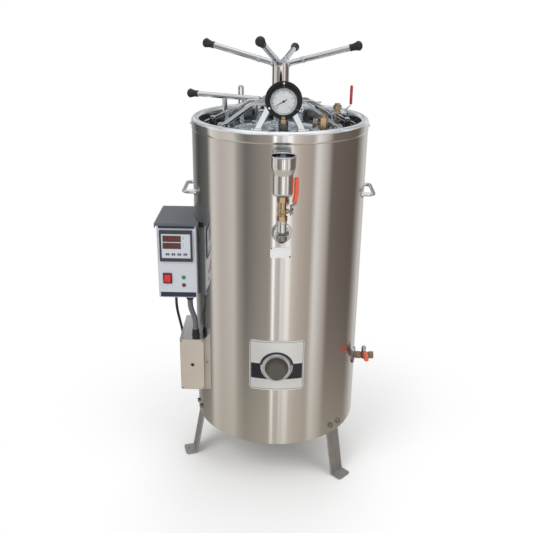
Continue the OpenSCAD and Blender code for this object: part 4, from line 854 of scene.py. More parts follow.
    def room(self, tree):
        """Colour of the room by direction: walls with bands, then ground, haze, ceiling and pit."""
        n, link = tree.nodes, tree.links.new
        coord = n.new("ShaderNodeTexCoord")
        parts = n.new("ShaderNodeSeparateXYZ")
        link(coord.outputs["Generated"], parts.inputs[0])
        rise = parts.outputs["Z"]
        ahead = math_of(tree, "MULTIPLY", parts.outputs["Y"], -1.0)
        angle = math_of(tree, "ARCTAN2", parts.outputs["X"], ahead)
        share = n.new("ShaderNodeMapRange")
        share.inputs["From Min"].default_value = -math.pi
        share.inputs["From Max"].default_value = math.pi
        link(angle, share.inputs["Value"])
        walls = n.new("ShaderNodeValToRGB")
        stops = walls.color_ramp.elements
        while len(stops) > 1:
            stops.remove(stops[0])
        for k, (degrees, colour) in enumerate(self.BANDS):
            stop = stops[0] if k == 0 else stops.new(0.5)
            stop.position = (degrees + 180) / 360
            stop.color = (*colour, 1)
        last = stops.new(0.999)
        last.position = 1.0
        last.color = (*self.BANDS[0][1], 1)
        link(share.outputs["Result"], walls.inputs["Fac"])
        cloud = n.new("ShaderNodeTexNoise")
        cloud.inputs["Scale"].default_value = 2.6
        cloud.inputs["Detail"].default_value = 2
        link(coord.outputs["Generated"], cloud.inputs["Vector"])
        haze = n.new("ShaderNodeValToRGB")
        for stop, (position, colour) in zip(haze.color_ramp.elements, self.HAZE):
            stop.position = position
            stop.color = (*colour, 1)
        link(cloud.outputs["Fac"], haze.inputs["Fac"])
        lower = blended(tree, eased(tree, rise, *self.GROUND_RISE), walls.outputs["Color"], self.GROUND)
        upper = blended(tree, eased(tree, rise, *self.ZENITH_RISE), haze.outputs["Color"], self.ZENITH)
        sides = blended(tree, eased(tree, rise, *self.CEILING_RISE), lower, upper)
        return blended(tree, eased(tree, rise, *self.PIT_RISE), sides, self.PIT)

    def floor(self, context):
        """A pale floor that takes the object's shadow and turns white further out."""
        half, drop = props().floor_size / 2, 0.0005
        bm = bmesh.new()
        corners = ((-half, -half), (half, -half), (half, half), (-half, half))
        bm.faces.new([bm.verts.new((x, y, -drop)) for x, y in corners])
        floor = loose("floor", bm)
        material = surface("Pale floor", tuple(props().floor_colour), rough=0.9, tone=0.0, rough_change=0.0,
                           scale=10, specular=0.0)
        tree = material.node_tree
        n, link = tree.nodes, tree.links.new
        coord = n.new("ShaderNodeTexCoord")
        distance = n.new("ShaderNodeVectorMath")
        distance.operation = "LENGTH"
        link(coord.outputs["Object"], distance.inputs[0])
        far = eased(tree, distance.outputs["Value"], *self.FLOOR_FADE)
        rays = n.new("ShaderNodeLightPath")
        white = n.new("ShaderNodeEmission")
        mix = n.new("ShaderNodeMixShader")
        link(math_of(tree, "MULTIPLY", far, rays.outputs["Is Camera Ray"]), mix.inputs[0])
        link(n["Principled BSDF"].outputs[0], mix.inputs[1])
        link(white.outputs[0], mix.inputs[2])
        link(mix.outputs[0], n["Material Output"].inputs["Surface"])
        floor.data.materials.append(material)
        floor.visible_glossy = False

    def lamps(self, context):
        """Three soft lamps that no steel mirrors."""
        for name, place, size, power, colour in self.LAMPS:
            data = bpy.data.lights.new(name, "AREA")
            data.size = size
            data.energy = power
            data.color = colour
            lamp = bpy.data.objects.new(name, data)
            lamp.rotation_euler = (self.LAMP_AIM - Vector(place)).to_track_quat("-Z", "Y").to_euler()
            lamp.location = place
            lamp.visible_camera = False
            lamp.visible_glossy = False
            context.scene.collection.objects.link(lamp)


class AUTOCLAVE_OT_cords(bpy.types.Operator):
    """Ribbed conduit and thin cord between the two boxes"""

    bl_idname = "autoclave.cords"
    bl_label = "Conduit and cord"

    CONDUIT_RADIUS, RIB_DEPTH, CORD_RADIUS = 0.0085, 0.0021, 0.004
    RIB_RINGS = 6    # rings of vertices in one rib
    BEND_STEPS = 28  # steps along the bend of the conduit
    # the conduit's two ends, each with a straight length, and the two points that its bend leans to
    CONDUIT = ((-257, -112, 557.5), (-257, -112, 540), (-257, -112, 517), (-243, -112, 502), (-243, -112, 474),
               (-243, -112, 456.5))
    # the thin cord runs at one distance to the left; these are its depth and height
    CORD_X = -300
    CORD = ((-100, 556.7), (-100, 539), (-94, 520), (-80, 497), (-62, 474), (-43, 450.5), (-24, 427), (-8, 407),
            (2.5, 392.5), (6, 385.3), (6, 376.3))

    def execute(self, context):
        grey = surface("Conduit grey", (0.15, 0.155, 0.165), rough=0.36, tone=0.25, rough_change=0.12,
                       scale=120, bump=0.1)
        black = surface("Cord rubber", (0.018, 0.018, 0.019), rough=0.45, tone=0.3, scale=140, bump=0.1)
        top, a, b, c, d, foot = (mm(*p) for p in self.CONDUIT)
        bend = []
        for k in range(self.BEND_STEPS + 1):
            t, s = k / self.BEND_STEPS, 1 - k / self.BEND_STEPS
            bend.append(s ** 3 * a + 3 * s * s * t * b + 3 * s * t * t * c + t ** 3 * d)
        self.tube("power_conduit", [top, top.lerp(a, 0.5)] + bend + [d.lerp(foot, 0.5), foot],
                  self.CONDUIT_RADIUS, self.RIB_DEPTH, props().rib_count, grey, "stiff")
        self.tube("sensor_cord", smooth_route([mm(self.CORD_X, y, z) for y, z in self.CORD]),
                  self.CORD_RADIUS, 0.0, 24, black, "medium")
        return {"FINISHED"}

    def tube(self, node, route, radius, rib, ribs, material, stiffness):
        """A cord along its route, in metres."""
        bm = bmesh.new()
        row = [bm.verts.new(p) for p in route]
        for a, b in zip(row, row[1:]):
            bm.edges.new((a, b))
        mesh = run_recipe(loose(node + "_work", bm), ribbed_recipe(), {
            "Radius": radius, "Rib depth": rib, "Rings in a rib": self.RIB_RINGS,
            "Rings": ribs * self.RIB_RINGS + 1, "Sides": 24, "Material": material})
        piece = placed(node + "_piece", mesh, material, node, 60)
        tuple(route[0])
        route_length(route)
        [tuple(p) for p in route]


def seated(verts, azimuth, radius):
    """Moves vertices along a direction until they lie on the round jacket."""
    back = Matrix.Rotation(math.radians(-azimuth), 3, "Z")
    out = back.transposed()
    for v in verts:
        p = back @ v.co
        p.x = math.sqrt((radius * MM) ** 2 - p.y ** 2)
        v.co = out @ p


class AUTOCLAVE_OT_shell(bpy.types.Operator):
    """Jacket, rim, ring, chamber, legs, handles and fixings"""

    bl_idname = "autoclave.shell"
    bl_label = "Shell"

    RIM_Z = 1073.5  # the rolled rim takes the pale steel, a painted highlight, from here up
    HANDLE_Z, HANDLE_Y, HANDLE_HALF = 874, -20, 55  # height and middle of the handles, and half of their span
    # where the bend of a handle starts, its radius, the radius of the rod and its sides
    HANDLE_X, HANDLE_BEND, HANDLE_ROD, SIDES = 258, 14, 5.5, 24
    BARE_PLATE = (-88.05, 757.5, 56, 30, 2.5)  # azimuth, height, size and corner of the small plate
    RIVET_PLACES, RIVET_R, RIVET_SEAT = ((-16.5, 769.5), (33.5, 745.5)), 2.3, 250.6
    FOOT_SIDES, FOOT_RISE = 32, 2.5  # sides of a handle's round foot, and how far it stands off the jacket
    FOOT_BOLT_TOP, BOX_SCREW_TOP, BOX_X, BOX_Y = 250, 440, -200, -120  # limits of the dark fixings

    def execute(self, context):
        steps = props().round_steps
        bm = bmesh.new()
        lathe(bm, [(248.5, 145.6), (248.9, 145), (249.6, 145), (250, 145.6), (250, 400), (250, 700),
                   (250, 1048.4), (249.7, 1048.9), (248.5, 1048.9), (248.5, 700), (248.5, 400)], steps,
              closed=True)
        lathe(bm, [(0, 220), (248.5, 220), (248.5, 221.5), (0, 221.5)], steps)
        finished("jacket", bm, jacket_steel(), "outer_jacket", 30)
        bm = bmesh.new()
        lathe(bm, [(248.6, 1049.1), (250.8, 1049.1), (251.2, 1049.6), (251.2, 1056), (251.2, 1064)]
              + arc(240.35, 1070.15, 10.85, 0, 180, 24) + [(229.5, 1065.15), (248.6, 1065.15)], steps,
              closed=True)
        # painted highlight: the faces of the rim above RIM_Z take the pale steel, whose colour stands in for
        # the bright room that the rim's top mirrors
        for face in bm.faces:
            face.material_index = 1 if face.calc_center_median().z > self.RIM_Z * MM else 0
        band = surface("Collar steel", (0.74, 0.735, 0.72), rough=0.155, metal=1, tone=0.10, rough_change=0.06,
                       scale=3.0, stretch=(60, 60, 1.2), grain=0.92)
        finished("collar", bm, [band, pale_highlight_steel()], "top_collar", 50)
        bm = bmesh.new()
        lathe(bm, [(175, 1007.4), (248.4, 1007.4), (248.4, 1065), (229.6, 1065), (229.5, 1050), (229.6, 1040.7),
                   (230.1, 1040.2), (240, 1040.2), (240, 1019.6), (205, 1019.6), (205, 1022.9), (204.5, 1023.4),
                   (176, 1023.4), (175, 1022.6)], steps, closed=True)
        finished("seat_ring", bm, dark_steel_and_painted_shade(), "locking_ring", 30)
        softened("chamber", satin_steel(), 0.3)
        softened("basket", satin_steel(), 0.2)
        softened("heating_element", dark_steel_and_painted_shade(), 0.2)
        leg = surface("Leg steel", tuple(props().leg_colour), rough=0.44, metal=0.75, tone=0.75,
                      rough_change=0.25, scale=70, stretch=(1, 1, 0.5), bump=0.4)
        softened("legs", leg, 0.8, segments=3)
        softened("fasteners", [chrome(), dark_steel_and_painted_shade()], 0.5, pick=self.fastener_metal)
        softened("hinge_bracket", satin_steel(), 0.6)
        softened("hinge_strap", pale_highlight_steel(), 0.8)
        self.handles()
        self.plate()
        return {"FINISHED"}

    @staticmethod
    def fastener_metal(c):
        """Dark for the foot bolts and the terminal box screws, bright for the others."""
        shell = AUTOCLAVE_OT_shell
        at_box = c.z < shell.BOX_SCREW_TOP and c.y < shell.BOX_Y and c.x < shell.BOX_X
        return 1 if c.z < shell.FOOT_BOLT_TOP or at_box else 0

    def handles(self):
        """Two bent rods, each with a round foot at both ends."""
        bm = bmesh.new()
        for side in (-1, 1):
            path = []
            for end in (-1, 1):
                y = self.HANDLE_Y + end * self.HANDLE_HALF
                start = math.sqrt(SEAT_R ** 2 - y * y)
                corner = [(side * (self.HANDLE_X + self.HANDLE_BEND * math.sin(a)),
                           y - end * self.HANDLE_BEND * (1 - math.cos(a)))
                          for a in (math.radians(10 * k) for k in range(10))]
                run = [(side * (start + (self.HANDLE_X - start) * k / 3), y) for k in range(3)] + corner
                path += [mm(x, yy, self.HANDLE_Z) for x, yy in (run if end < 0 else reversed(run))]
            verts = pipe(bm, path, self.HANDLE_ROD, self.SIDES)
            self.on_jacket(verts[:self.SIDES] + verts[-self.SIDES:])
            for end in (-1, 1):
                y = self.HANDLE_Y + end * self.HANDLE_HALF
                face = math.sqrt(JACKET_R ** 2 - y * y) + self.FOOT_RISE
                made = lathe(bm, [(0, -3), (9, -3), (9, -0.5), (8.5, 0), (0, 0)], self.FOOT_SIDES,
                             facing(mm(side * face, y, self.HANDLE_Z), (side, 0, 0)))
                self.on_jacket(made[:1 + self.FOOT_SIDES])
        finished("carry_handles", bm, chrome(), "side_handles", 40)

    @staticmethod
    def on_jacket(verts):
        """Moves vertices along X until they lie on the jacket."""
        for v in verts:
            v.co.x = math.copysign(math.sqrt((SEAT_R * MM) ** 2 - v.co.y ** 2), v.co.x)

    def plate(self):
        """The bare white plate under the inlet, with its two rivets."""
        azimuth, z, wide, tall, corner = self.BARE_PLATE
        bm = bmesh.new()
        curved_plate(bm, azimuth, z, wide, tall, corner, 250.05, self.RIVET_SEAT)
        white = surface("White plate", (0.70, 0.70, 0.70), rough=0.35, tone=0.06, bump=0.03)
        finished("bare_plate", bm, white, "outer_jacket", 40, False)
        places = []
        for x, z in self.RIVET_PLACES:
            azimuth = -90 + math.degrees(math.asin(x / self.RIVET_SEAT))
            places.append((polar(azimuth, self.RIVET_SEAT, z), polar(azimuth, 1, 0) / MM))
        dark = surface("Rivet", (0.06, 0.06, 0.06), rough=0.4, metal=1)
        rivets("plate_rivets", places, self.RIVET_R, dark, "outer_jacket")


class AUTOCLAVE_OT_lid(bpy.types.Operator):
    """Lid with its pads and screw, seal and lever"""

    bl_idname = "autoclave.lid"
    bl_label = "Lid"

    # azimuth and rise of the lever, its height at the axis, and where its grip starts
    LEVER_WAY, LEVER_Z, LEVER_REACH = (162, 1.2), 1122, 253
    DOME_R, DOME_Z, WALL = 749.6, 308.4, 7  # radius and centre of the dome's ball, and its thickness
    PADS = ((9, -158, 17), (114, -150, 16), (166, 52, 14), (111, 140, 11), (-160.5, 53, 13), (-118.8, 145, 10))
    TURNS, THREAD_Z, PITCH = 39, 1065.5, 3  # turns of the screw, where they start, and their spacing

    def execute(self, context):
        self.plate()
        seal = surface("White seal", (0.80, 0.80, 0.76), rough=0.6, tone=0.1, scale=60)
        softened("lid_gasket", seal, 0.4)
        softened("arm_brackets", arm_steel(), 0.7, segments=3)
        softened("lid_lever", chrome(), 0.5)
        bm = bmesh.new()
        way = heading(*self.LEVER_WAY)
        grip(bm, mm(0, 0, self.LEVER_Z) + way * self.LEVER_REACH * MM, way, 7.7)
        dressed("lever_knob", bm, black_grip(), "lever_grip", 0.3, angle=50)
        return {"FINISHED"}

    def dome(self, r, drop=0.0):
        """Height of the dome at a radius."""
        return self.DOME_Z + math.sqrt((self.DOME_R - drop) ** 2 - r * r)

    def plate(self):
        """Flange, dome, pads, boss and screw in one."""
        steps, dome = props().round_steps, self.dome
        outer = [(r, dome(r)) for r in (0, 12, 26, 45, 70, 95, 120, 140, 155, 163, 168)]
        outer += [(170.6, dome(170.6) + 0.1), (172.4, 1038.1), (174.5, 1038)]
        flange = [(190, 1038), (203, 1038), (203.7, 1037.7), (204, 1037), (204, 1025), (203.4, 1024.2),
                  (202.6, 1024), (189, 1024), (189, 1028), (181, 1028), (181, 1024), (172, 1024), (172, 1031)]
        inner = [(r, dome(r, self.WALL)) for r in (160, 130, 95, 60, 30, 0)]
        bm = bmesh.new()
        lathe(bm, outer + flange + inner, steps)
        for x, y, r in self.PADS:
            corner = arc(r - 1.2, 1048.8, 1.2, 0, 90, 4)
            lathe(bm, [(0, 1036), (r, 1036), (r, 1048.8)] + corner + [(0, 1050)], 48,
                  Matrix.Translation(mm(x, y, 0)))
        lathe(bm, [(0, 1053), (28.5, 1053), (28.5, 1057.6), (27, 1058.4), (26, 1060), (26, 1062.6)]
              + arc(24.6, 1062.6, 1.4, 0, 90, 4) + [(0, 1064)], 64)
        lathe(bm, [(0, 1050), (13, 1050), (13, 1060)] + arc(12, 1060, 1, 0, 90, 3) + [(0, 1061)], 48,
              Matrix.Translation(mm(-68, 22, 0)))
        screw = [(0, 1060), (13.9, 1060)]
        for k in range(self.TURNS):
            z = self.THREAD_Z + self.PITCH * k
            screw += [(13.95, z), (13.95, z + 0.6), (12.7, z + 1.5), (12.7, z + 1.8), (13.95, z + 2.7)]
        lathe(bm, screw + [(12.6, 1183.4), (12.6, 1184.4), (11.6, 1185.2), (0, 1185.2)], 48)
        finished("lid_dome", bm, lid_steel(), "lid_plate")


def grip(bm, start, direction, bore):
    """A hollow bell grip with a ball end, from its rod end along a direction."""
    bell = [(bore, 0.3), (bore + 0.6, 0), (9.2, 0), (9.7, 0.5), (9.8, 2.2), (9.3, 3.6), (9.2, 6), (9.5, 10),
            (10.3, 14.5), (11.5, 18.5), (12.6, 21.8)]
    ball = [(13 * math.cos(math.radians(a)) if a > 12 else 13.0, 23.2 + 10.8 * math.sin(math.radians(a)))
            for a in (0, 12, 24, 36, 48, 60, 72, 82)]
    lathe(bm, bell + ball + [(0, 34)], 48, facing(start, direction))
    lathe(bm, [(bore, 0.3), (bore, 22), (0, 22)], 48, facing(start, direction))


class AUTOCLAVE_OT_lock(bpy.types.Operator):
    """Ten arms, the spool that moves them, and the star with its grips"""

    bl_idname = "autoclave.lock"
    bl_label = "Locking gear"

    ARMS = 10
    HUB_Z, GRIP_START = 1219, 198  # height at which the spokes meet, and where their grips start
    SPOKES = ((-15, 15.3), (79, 8.2), (168, 14), (255.5, 20.2))  # azimuth and rise of each

    def execute(self, context):
        for k in range(1, self.ARMS + 1):
            softened("lock_arm_%d" % k, arm_steel(), 1.4, segments=3)
        self.spool()
        self.star()
        return {"FINISHED"}

    def spool(self):
        """Two flanges with the groove that holds the noses of the arms."""
        bm = bmesh.new()
        lower = arc(48, 1108.9, 1, -90, 0, 4) + arc(48, 1111.9, 1, 0, 90, 4)
        upper = arc(48, 1130.1, 1, -90, 0, 4) + arc(48, 1133.1, 1, 0, 90, 4)
        lathe(bm, [(14.1, 1108.3), (14.6, 1107.9), (48, 1107.9)] + lower
              + [(30.4, 1112.9), (29.3, 1113.4), (28.8, 1114.5), (28.8, 1127.5), (29.3, 1128.6), (30.4, 1129.1)]
              + upper
              + [(24.5, 1134.1), (18.8, 1134.1), (18, 1134.4), (18, 1140.6), (17.5, 1141.1), (14.6, 1141.1),
                 (14.1, 1140.7)], 96, closed=True)
        finished("pull_spool", bm, chrome(), "lock_spool", 30)

    def star(self):
        """The column with its four spokes, then the four grips."""
        bm = bmesh.new()
        lathe(bm, [(0, 1228), (19.5, 1228)] + list(reversed(arc(21, 1225.5, 2.5, 0, 90, 6)))
              + [(23.5, 1224), (23.5, 1180), (23.5, 1137.2), (24.2, 1136.6), (24.2, 1135), (23.6, 1134.4),
                 (18.1, 1134.4), (18.1, 1141.4), (14.1, 1141.4), (14.1, 1222), (0, 1222)], 64)
        hub = mm(0, 0, self.HUB_Z)
        reach = [(12, 8), (23, 10.6), (24.4, 10.2), (25.6, 9), (27.2, 8.2), (29, 8), (45, 8), (60.7, 8),
                 (61, 8.6), (61.6, 9), (68.4, 9), (69, 8.6), (69.3, 8), (130, 8), (219.4, 8), (220, 7.4)]
        for spoke in self.SPOKES:
            pipe(bm, [hub + heading(*spoke) * d * MM for d, _ in reach], [r for _, r in reach], 32)
        finished("star_arms", bm, chrome(), "star_hub")
        bm = bmesh.new()
        for spoke in self.SPOKES:
            grip(bm, hub + heading(*spoke) * self.GRIP_START * MM, heading(*spoke), 8.2)
        dressed("star_knobs", bm, black_grip(), "star_grips", 0.3, angle=50)


def strap(bm, places, width, thick):
    """A bent flat bar along (along, up) points in its own frame, in millimetres."""
    flat = [Vector((x, z)) for x, z in places]
    rows = []
    for k, p in enumerate(flat):
        way = (flat[min(k + 1, len(flat) - 1)] - flat[max(k - 1, 0)]).normalized()
        up = Vector((-way.y, way.x))
        row = []
        for across, over in ((-1, 0), (1, 0), (1, 1), (-1, 1)):
            q = p + up * thick * over
            row.append(bm.verts.new(mm(q.x, across * width / 2, q.y)))
        rows.append(row)
    faces = [bm.faces.new(list(reversed(rows[0]))), bm.faces.new(rows[-1])] + skinned(bm, rows)
    bmesh.ops.recalc_face_normals(bm, faces=faces)


def sleeve(bm, start, end, centre, wide, thick, lean=0.0):
    """A rounded sleeve between two distances along X, in the second material, in millimetres."""
    # sides round it, its squareness, the share of it that leans, and the steps between its caps
    sides, power, bend, run = 40, 2.7, 0.42, 8
    cap = thick / 2
    quarter = [math.radians(a) for a in (8, 20, 35, 50, 65, 80, 90)]
    stations = [(start + cap * (1 - math.cos(a)), math.sin(a)) for a in quarter]
    stations += [(start + cap + (end - start - 2 * cap) * k / run, 1.0) for k in range(1, run)]
    stations += [(end - cap * (1 - math.cos(a)), math.sin(a)) for a in reversed(quarter)]
    rows = []
    for x, share in stations:
        t = (x - start) / (end - start)
        drop = lean * max(0.0, 1 - t / bend) ** 2
        half_w = (wide / 2 - cap) * (0.55 + 0.45 * share) + cap * share
        half_t = cap * share
        row = []
        for j in range(sides):
            a = TAU * j / sides
            c, s = math.cos(a), math.sin(a)
            row.append(bm.verts.new(mm(x, math.copysign(abs(c) ** (2 / power), c) * half_w,
                                       centre - drop + math.copysign(abs(s) ** (2 / power), s) * half_t)))
        rows.append(row)
    faces = [bm.faces.new(list(reversed(rows[0]))), bm.faces.new(rows[-1])] + skinned(bm, rows)
    for face in faces:
        face.material_index = 1
    bmesh.ops.recalc_face_normals(bm, faces=faces)


def s_bend(x0, x1, rise, steps=14):
    """Points of a smooth step up between two distances."""
    return [(x0 + (x1 - x0) * k / steps, rise * (3 - 2 * k / steps) * (k / steps) ** 2)
            for k in range(steps + 1)]


def valve_handle(node, turn, length, grip_l, step, wide, thick, hub_r, red, steel, lean=0.0):
    """Steel hub and strap with a red sleeve of a given length, which stands for a lever node."""
    start = length - grip_l
    bm = bmesh.new()
    lathe(bm, [(4.2, 0), (hub_r - 0.5, 0), (hub_r, 0.5), (hub_r, 2.5), (hub_r - 0.5, 3), (4.2, 3)], 48,
          closed=True)
    reach = [(hub_r * 0.6, 0.0), (hub_r + 1, 0.0)]
    if step:
        reach += s_bend(max(start - step - 1, hub_r + 2), start + 1, step)
    reach += [(start + 6, step)]
    strap(bm, reach, wide * (0.6 if step == 0 else 0.75), 3 if lean == 0 else 4.5)
    sleeve(bm, start, length, step + 1.5, wide, thick, lean)
    bmesh.ops.transform(bm, matrix=turn, verts=bm.verts)
    mesh = rounded(loose(node + "_work", bm), 0.35, 38, 2)
    placed(node + "_piece", mesh, [steel, red], node, None)


class AUTOCLAVE_OT_valves(bpy.types.Operator):
    """Brass valves, red levers, inlet, funnel and drain"""

    bl_idname = "autoclave.valves"
    bl_label = "Valves"

    INLET = (10, -292)  # the upright axis of the inlet, in plan
    DISC_Z, BALL_Z, FUNNEL_Z = 815, 813, 927
    DRAIN_X, DRAIN_Y, DRAIN_Z = 273.974, -60.48, 374  # pivot of the drain lever
    VENT_STEM_X, INLET_STEM_X, DRAIN_STEM_Z = 178.2, 26.6, 372.9  # the stems begin here
    # distances of the drain disc's faces from the jacket's axis, and the pipe that goes through it
    DRAIN_DISC, DRAIN_PIPE_Z, DRAIN_PIPE_R = (247, 253.6), 351.4, 9.4
    DISC_SIDES = 64

    def execute(self, context):
        softened("safety_valve", brass(), 0.5)
        softened("air_cock", dull_brass(), 0.4)
        softened("air_cock_handle", chrome(), 0.3)
        softened("vent_valve", [brass(), chrome()], 0.4, pick=lambda c: int(c.x > self.VENT_STEM_X))
        softened("inlet_valve", [brass(), dark_steel_and_painted_shade()], 0.5, pick=lambda c: int(c.x > self.INLET_STEM_X))
        softened("drain_valve", [dull_brass(), chrome(), dark_steel_and_painted_shade()], 0.4, pick=self.drain_metal)
        upward = Matrix(((0, 0, 1, 0), (0, -1, 0, 0), (1, 0, 0, 0), (0, 0, 0, 1)))
        valve_handle("inlet_lever", Matrix.Translation(mm(29.5, self.INLET[1], 887)) @ upward, length=90,
                     grip_l=67, step=14, wide=14, thick=12, hub_r=11, red=red_sleeve(), steel=dark_steel_and_painted_shade(),
                     lean=6)
        deep = surface("Deep red sleeve", (0.46, 0.022, 0.025), rough=0.28, tone=0.16, rough_change=0.12,
                       scale=120, bump=0.08, coat=0.3)
        valve_handle("vent_lever", Matrix.Translation(mm(189, 52, 1082)) @ upward, length=79, grip_l=55,
                     step=13.5, wide=11, thick=8, hub_r=7.5, red=deep, steel=chrome())
        pivot = Matrix.Translation(mm(self.DRAIN_X, self.DRAIN_Y, self.DRAIN_Z))
        valve_handle("drain_lever", pivot @ Matrix.Rotation(-math.pi / 2, 4, "Z"), length=81, grip_l=56,
                     step=0, wide=14, thick=11, hub_r=7.5, red=red_sleeve(), steel=chrome())
        self.elbow()
        self.funnel()
        return {"FINISHED"}

    def drain_metal(self, c):
        """Bright for the stem, dark for the disc on the jacket, brass for the rest."""
        if c.z > self.DRAIN_STEM_Z:
            return 1
        near, far = self.DRAIN_DISC
        from_pipe = math.hypot(c.y - self.DRAIN_Y, c.z - self.DRAIN_PIPE_Z)
        return 2 if near < math.hypot(c.x, c.y) < far and from_pipe > self.DRAIN_PIPE_R else 0

    def elbow(self):
        """Disc on the jacket, short pipe, round elbow and riser with its collar; the elbow's ball and the
        riser's foot take the dull steel as a painted dark reflection.
        """
        x, y = self.INLET
        bm = bmesh.new()
        disc = [(0, 2), (28, 2), (28, 4.4), (27.4, 5), (24, 5.3), (20.5, 6.6), (17.6, 9), (15.2, 12.2),
                (13.2, 15.2), (12, 17.5), (0, 17.5)]
        made = lathe(bm, disc, self.DISC_SIDES, facing(mm(x, -248, self.DISC_Z), (0, -1, 0)))
        seated(made[:1 + self.DISC_SIDES], -90, SEAT_R)
        lathe(bm, [(0, 0), (12, 0), (12, 30.5), (0, 30.5)], 48, facing(mm(x, -261.5, 814.5), (0, -1, 0)))
        ball = [(14 * math.cos(math.radians(a)), 14 * math.sin(math.radians(a))) for a in range(-90, 55, 8)]
        middle = Matrix.Translation(mm(x, y, self.BALL_Z))
        # painted dark reflection: the ball and the foot of the riser take the dull dark steel (material 1), so
        # the lower part of the chrome elbow looks dark
        lathe(bm, [(0, -14)] + ball[1:] + [(8.6, 11.4), (11.2, 13.2), (12, 15.5), (12, 19), (0, 19)], 64,
              middle, material=1)
        lathe(bm, [(0, 19), (12, 19), (12, 48.5), (0, 48.5)], 64, middle)
        lathe(bm, [(0, 0), (12.6, 0), (13.1, 0.6), (13.1, 4.4), (12.6, 5), (0, 5)], 48,
              Matrix.Translation(mm(x, y, 855.5)))
        # the second material is the dull steel that paints the dark reflection on the elbow's ball
        finished("inlet_bend", bm, [chrome(), dark_steel_and_painted_shade()], "inlet_elbow", 40)

    def funnel(self):
        """The cup over the inlet valve, with a thin wall and a rolled rim."""
        wall = [(12, 0), (19.5, 0.9), (22.8, 2.6), (25.2, 5.6), (26.5, 9.6), (26.8, 14), (27, 54), (27.4, 58),
                (28.6, 62), (30.6, 68), (32, 72.6), (32.8, 77.5), (33.1, 82), (33.3, 101.4)]
        back = [(r - 1.2, z + (0.8 if z < 6 else 0.0)) for r, z in reversed(wall[1:])]
        rim = arc(31.8, 103.5, 2.2, -40, 220, 18)
        bm = bmesh.new()
        lathe(bm, [(4.2, 0)] + wall + rim + back + [(4.2, 1.4)], 96,
              Matrix.Translation(mm(*self.INLET, self.FUNNEL_Z)), closed=True)
        finished("fill_funnel", bm, chrome(), "inlet_funnel", 40)


class AUTOCLAVE_OT_gauge(bpy.types.Operator):
    """Pressure gauge with its case, scale, pointer and glass"""

    bl_idname = "autoclave.gauge"
    bl_label = "Gauge"

    DIAL = (9, -173.02, 1146)  # middle of the dial's face
    START, SWEEP, FIGURES = 225, -270, 8  # angle of the first figure, angle to the last, and steps between them
    FIGURE_R, FIGURE_SIZE = 21.5, 6.2
    # limits of the two metals below the case
    STEM_TOP, FITTING_TOP, FITTING_Y, FITTING_HALF = 1088.2, 1108.5, -151, 14

    def execute(self, context):
        case = surface("Gauge enamel", (0.009, 0.010, 0.014), rough=0.30, tone=0.3, scale=70, bump=0.05,
                       specular=0.35)
        pipe_steel = surface("Stem steel", (0.30, 0.29, 0.28), rough=0.35, metal=1, tone=0.25, rough_change=0.2,
                             scale=60, bump=0.1)
        softened("gauge_case", [case, brass(), pipe_steel], 0.7, pick=self.case_metal)
        softened("gauge_pointer", black_print(), 0.08)
        self.dial()
        glass = surface("Gauge glass", (0.97, 0.98, 0.98), rough=0.02, tone=0.03, rough_change=0.03)
        shader = glass.node_tree.nodes["Principled BSDF"]
        shader.inputs["Transmission Weight"].default_value = 1
        shader.inputs["IOR"].default_value = 1.2
        softened("gauge_glass", glass, 0.2)
        return {"FINISHED"}

    def case_metal(self, c):
        """Steel for the stem, brass for the fitting under the case, enamel for the case."""
        if c.z < self.STEM_TOP:
            return 2
        beside = abs(c.x - self.DIAL[0])
        return 1 if c.z < self.FITTING_TOP and c.y < self.FITTING_Y and beside < self.FITTING_HALF else 0

    def dial(self):
        """White face, then its marks, figures and ring in black."""
        turn = facing(mm(*self.DIAL), (0, -1, 0))
        flat = Matrix.Translation(mm(*self.DIAL)) @ Matrix.Rotation(math.pi / 2, 4, "X")
        bm = bmesh.new()
        lathe(bm, [(0, 0), (34.3, 0), (34.3, 0.1), (0, 0.1)], 96, turn)
        finished("gauge_face", bm, white_print(), "gauge_case", 30, False)
        bm = bmesh.new()
        marks(bm, flat @ Matrix.Translation((0, 0, 0.15 * MM)), **{
            "Count": props().gauge_marks, "Outer radius": 0.0305, "Start angle": math.radians(self.START),
            "Sweep": math.radians(self.SWEEP), "Length": 0.0055, "Width": 0.0010, "Height": 0.0001,
            "Long one in": 5, "Short share": 0.55, "Material": black_print()})
        for k in range(0, self.FIGURES + 1, 2):
            a = math.radians(self.START + self.SWEEP * k / self.FIGURES)
            place = mm(self.FIGURE_R * math.cos(a), self.FIGURE_R * math.sin(a), 0.16)
            lettering(bm, "%g" % (k / 2), self.FIGURE_SIZE, flat @ Matrix.Translation(place))
        lathe(bm, [(31.3, 0.1), (31.8, 0.1), (31.8, 0.2), (31.3, 0.2)], 96, turn, closed=True)
        finished("gauge_scale", bm, black_print(), "gauge_case", 30, False)


